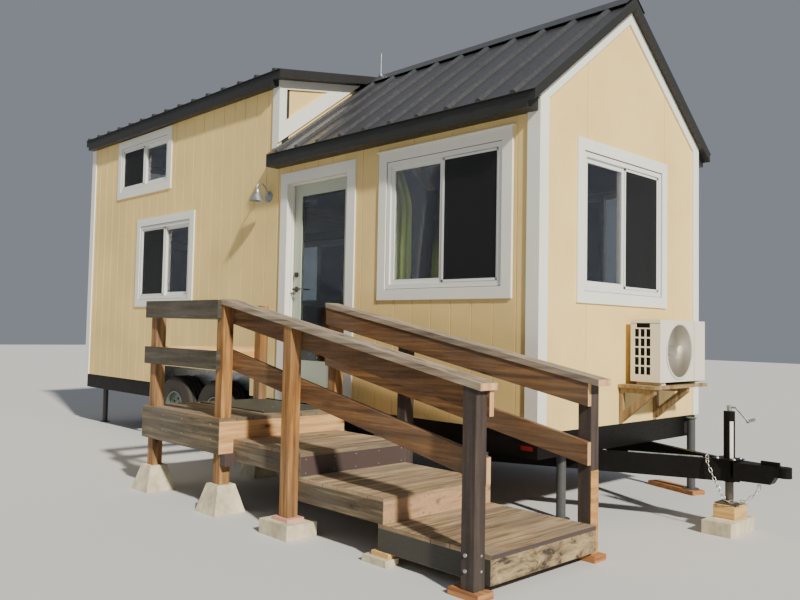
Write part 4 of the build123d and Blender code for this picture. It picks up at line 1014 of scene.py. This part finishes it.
nails = Build()
board_low, board_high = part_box("door_board")
board_size = board_high - board_low
for across, back in ((0.07, 0.06), (0.7, 0.45), (0.93, 0.06), (0.93, 0.9)):
    spot = (board_low.x + across * board_size.x, board_low.y + back * board_size.y, board_high.z)
    nails.dome(spot, AXIS_Z, 0.006, 0.002, 6)
for low, high in step_boxes:
    for along, drop in RISER_NAILS:
        spot = (high.x + SKIN, low.y + (high.y - low.y) * along, high.z - DECK - drop)
        nails.dome(spot, AXIS_X, 0.005, 0.002, 6)
    board_count = max(1, round((high.x - low.x) / BOARD_WIDTH))
    for board in range(board_count):
        x = low.x + (board + 0.5) * (high.x - low.x) / board_count
        for offset in (-BOARD_NAILS, BOARD_NAILS):
            for y in (low.y + 0.02, (low.y + high.y) / 2, high.y - 0.02):
                nails.dome((x + offset, y, high.z), AXIS_Z, 0.004, 0.0015, 6)
for drop in (0.05, 0.16):
    z = LANDING_HIGH.z - drop
    for back in (0.044, 0.132, 0.66, 0.935):
        nails.dome((LANDING_HIGH.x + SKIN, LANDING_LOW.y + back, z), AXIS_X, 0.005, 0.002, 6)
    for along in (0.3, 0.55, 0.9):
        x = LANDING_LOW.x + along * (LANDING_HIGH.x - LANDING_LOW.x)
        nails.dome((x, LANDING_LOW.y - SKIN, z), -AXIS_Y, 0.005, 0.002, 6)
nails.done("nail_heads", GALVANISED)

# Posts and rails in their own stains: each solid of the CAD nodes gets a matching board
BEVEL = 0.003
BEVEL_ANGLE = 40
NEAR_ENOUGH = 1e-4


def clone_island(node, test, name, finish):
    """A piece made of the solids of a CAD node whose box passes a test."""
    mesh = nodes[node].data
    inside = [box for box in islands(node) if test(*box)]
    points = []
    index = {}
    faces = []
    for polygon in mesh.polygons:
        corners = [mesh.vertices[v].co for v in polygon.vertices]
        for low, high in inside:
            if not all(
                low[k] - NEAR_ENOUGH <= corner[k] <= high[k] + NEAR_ENOUGH
                for corner in corners for k in range(3)
            ):
                continue
            face = []
            for corner in corners:
                key = tuple(round(value, 5) for value in corner)
                if key not in index:
                    index[key] = len(points)
                    points.append(corner.copy())
                face.append(index[key])
            if len(set(face)) == len(face):
                faces.append(tuple(face))
            break
    obj = piece(name, points, faces, finish)
    bevel = obj.modifiers.new("soft_edges", "BEVEL")
    bevel.width = BEVEL
    bevel.segments = 2
    bevel.limit_method = "ANGLE"
    bevel.angle_limit = math.radians(BEVEL_ANGLE)
    return obj


def rest(*tests):
    """A test that passes where all the given ones fail."""
    return lambda low, high: not any(test(low, high) for test in tests)


def amber(low, high):
    """Posts of the unstained timber: the landing's, and the outer one by the second step."""
    return low.x < (STEP_X if low.y > INNER_ROW else STEP_X + 1.5)


def new_board(low, high):
    """The low board across the landing's end."""
    return high.x - low.x < 0.1 and high.z < LANDING_HIGH.z + 0.65


def level(low, high):
    """Boards of the landing's level railing, but for the low board at its end."""
    return low.x < STEP_X - 1.0 and not new_board(low, high)


def cleat(low, high):
    """The dark cleat under the landing."""
    return low.z > 0.3


def plank(low, high):
    """The long plank under the far front leg, and those under the last posts."""
    return high.x - low.x > 0.3 or (high.z < 0.05 and low.y < CENTRE_Y and low.x > STEP_X + 2)


def shim(low, high):
    """The painted shim on the block under the third post."""
    return 0.08 < low.z < 0.1 and low.y < Y0


posts = clone_island("railing_posts", amber, "posts_amber", WOOD["amber_post_timber"])
clone_island("railing_posts", rest(amber), "posts_brown", WOOD["brown_post_timber"])
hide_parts("railing_posts")
rails = clone_island("railing_boards", level, "level_rails", WOOD["level_rail_timber"])
clone_island("railing_boards", new_board, "end_rail", WOOD["new_pine"])
clone_island("railing_boards", rest(level, new_board), "sloped_rails", WOOD["rail_timber"])
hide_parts("railing_boards")
pads = clone_island("timber_blocks", rest(cleat, plank, shim), "blocks_new", WOOD["block_timber"])
clone_island("timber_blocks", cleat, "block_cleat", DARK_PAINT)
clone_island("timber_blocks", plank, "block_planks", WOOD["plank_timber"])
clone_island("timber_blocks", shim, "block_shim", SHIM_PAINT)
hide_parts("timber_blocks")

# Bare wood: sawn ends of the rails and caps, and the worn foot of the last inner post
ends = Build()
for node_name, depth in (("railing_boards", 0.138), ("railing_caps", 0.036)):
    for low, high in islands(node_name):
        if high.x < STEP_X + 1.5:
            continue
        base = low.z + INSET
        ends.box((high.x, low.y + INSET, base), (high.x + SKIN, high.y - INSET, base + depth))
ends.done("rail_ends", WOOD["bare_end_timber"])
low, high = max((box for box in post_boxes if box[0].y > INNER_ROW), key=lambda box: box[0].x)
front_skin(low, high, low.z + INSET, low.z + 0.5, "post_bare_foot", PEELED_POST)

# Jack: a white strip painted on the tube as its highlight, and bolts in the plate
HIGHLIGHT_COLUMNS = 7
tube_low, tube_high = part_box("jack_tube")
tube_x = (tube_low.x + tube_high.x) / 2
tube_r = (tube_high.x - tube_low.x) / 2
# Painted highlight: a white band on the side of the tube that faces the sun and the camera
painted_highlight = Build()
for z in (tube_high.z - 0.33, tube_high.z - 0.07):
    for k in range(HIGHLIGHT_COLUMNS):
        turn = math.radians(-62 + k * 6)
        for radius in (tube_r, tube_r + 0.0012):
            painted_highlight.points.append(Vector((
                tube_x + radius * math.cos(turn), CENTRE_Y + radius * math.sin(turn), z,
            )))
row = 2 * HIGHLIGHT_COLUMNS
for a in range(0, row - 2, 2):
    b = a + row
    painted_highlight.faces.append((a + 1, a + 3, b + 3, b + 1))
    painted_highlight.faces.append((a, b, b + 2, a + 2))
    painted_highlight.faces.append((a, a + 2, a + 3, a + 1))
    painted_highlight.faces.append((b, b + 1, b + 3, b + 2))
painted_highlight.faces.append((0, 1, row + 1, row))
painted_highlight.faces.append((row - 2, 2 * row - 2, 2 * row - 1, row - 1))
painted_highlight.done("jack_painted_highlight", TRIM)
plate = Build()
plate_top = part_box("tongue_beams")[1].z
for dx in (-0.06, 0.055):
    for dy in (-0.055, 0.055):
        plate.dome((tube_x + dx, CENTRE_Y + dy, plate_top), AXIS_Z, 0.012, 0.011, 6)
plate.done("jack_plate_bolts", GALVANISED)

# Thin conduit along the near tongue beam and marker light under the front corner
CONDUIT_Z = 0.4985
conduit = Build()
route = [house(x, y, CONDUIT_Z) for x, y in ((7.50, 0.905), (7.75, 1.025), (7.96, 1.126))]
conduit.tube(route, 0.006, 8)
conduit.done("tongue_conduit", GALVANISED)
marker = Build()
marker.box(house(7.18, 0.008, 0.545), house(7.275, 0.0145, 0.575))
marker.done("marker_light", marker_material())

# Bulb inside the barn light
RINGS = 10
BULB_SIDES = 16
BULB_RADIUS = 0.021
BULB_HALF_LENGTH = 0.028
lamp_low, lamp_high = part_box("porch_light")
bulb_centre = Vector(((lamp_low.x + lamp_high.x) / 2, lamp_low.y + 0.076, lamp_low.z + 0.05))
bulb = Build()
for ring in range(RINGS + 1):
    tilt = math.pi * ring / RINGS
    radius = BULB_RADIUS * math.sin(tilt)
    z = -BULB_HALF_LENGTH * math.cos(tilt)
    for across, up in circle(BULB_SIDES):
        bulb.points.append(bulb_centre + Vector((radius * across, radius * up, z)))
bulb.quads(0, BULB_SIDES, RINGS + 1)
bulb.done("lamp_bulb", TRIM, smooth=True)

# Stage: pale floor, soft light and the photograph's camera
FLOOR = 40
FLOOR_Z = -0.001
corners = [(-FLOOR, -FLOOR), (FLOOR, -FLOOR), (FLOOR, FLOOR), (-FLOOR, FLOOR)]
floor_mesh = bpy.data.meshes.new("floor")
floor_mesh.from_pydata([(x, y, FLOOR_Z) for x, y in corners], [], [(0, 1, 2, 3)])
floor_mesh.materials.append(Shader("floor_finish").finish((0.6, 0.6, 0.58, 1), 0.8))
floor = placed("studio_floor", floor_mesh)

world = bpy.data.worlds.new("studio")
bpy.context.scene.world = world
world.use_nodes = True
sky = world.node_tree.nodes["Background"].inputs
sky["Color"].default_value = (0.80, 0.87, 1.0, 1)
sky["Strength"].default_value = 0.28


def sun(name, direction, strength, angle, colour=(1, 1, 1)):
    """A soft distant light that shines along a direction."""
    light = bpy.data.lights.new(name, "SUN")
    light.energy = strength
    light.angle = math.radians(angle)
    light.color = colour
    turn = Vector(direction).to_track_quat("-Z", "Y")
    placed(name, light).rotation_euler = turn.to_euler()


sun("key", (-0.78, 0.23, -0.58), 6.2, 3, (1.0, 0.95, 0.86))
sun("fill", (0.5, 0.75, -0.5), 0.12, 60, (0.9, 0.95, 1.0))

camera_data = bpy.data.cameras.new("camera")
camera_data.sensor_width = SENSOR_WIDTH
camera_data.lens = FOCAL_PIXELS * SENSOR_WIDTH / IMAGE_WIDTH
camera_data.shift_x = CENTRE_OFFSET[0] / IMAGE_WIDTH
camera_data.shift_y = CENTRE_OFFSET[1] / IMAGE_WIDTH
camera_data.clip_end = 200
camera = placed("camera", camera_data)
forward = Vector((
    -math.sin(CAMERA_YAW) * math.cos(CAMERA_PITCH),
    math.cos(CAMERA_YAW) * math.cos(CAMERA_PITCH),
    math.sin(CAMERA_PITCH),
))
level_right = Vector((math.cos(CAMERA_YAW), math.sin(CAMERA_YAW), 0))
level_up = level_right.cross(forward)
right = math.cos(CAMERA_ROLL) * level_right + math.sin(CAMERA_ROLL) * level_up
up = math.cos(CAMERA_ROLL) * level_up - math.sin(CAMERA_ROLL) * level_right
turned = Matrix((right, up, -forward)).transposed().to_4x4()
camera.matrix_world = Matrix.Translation(house(*CAMERA_PLACE)) @ turned
bpy.context.scene.camera = camera
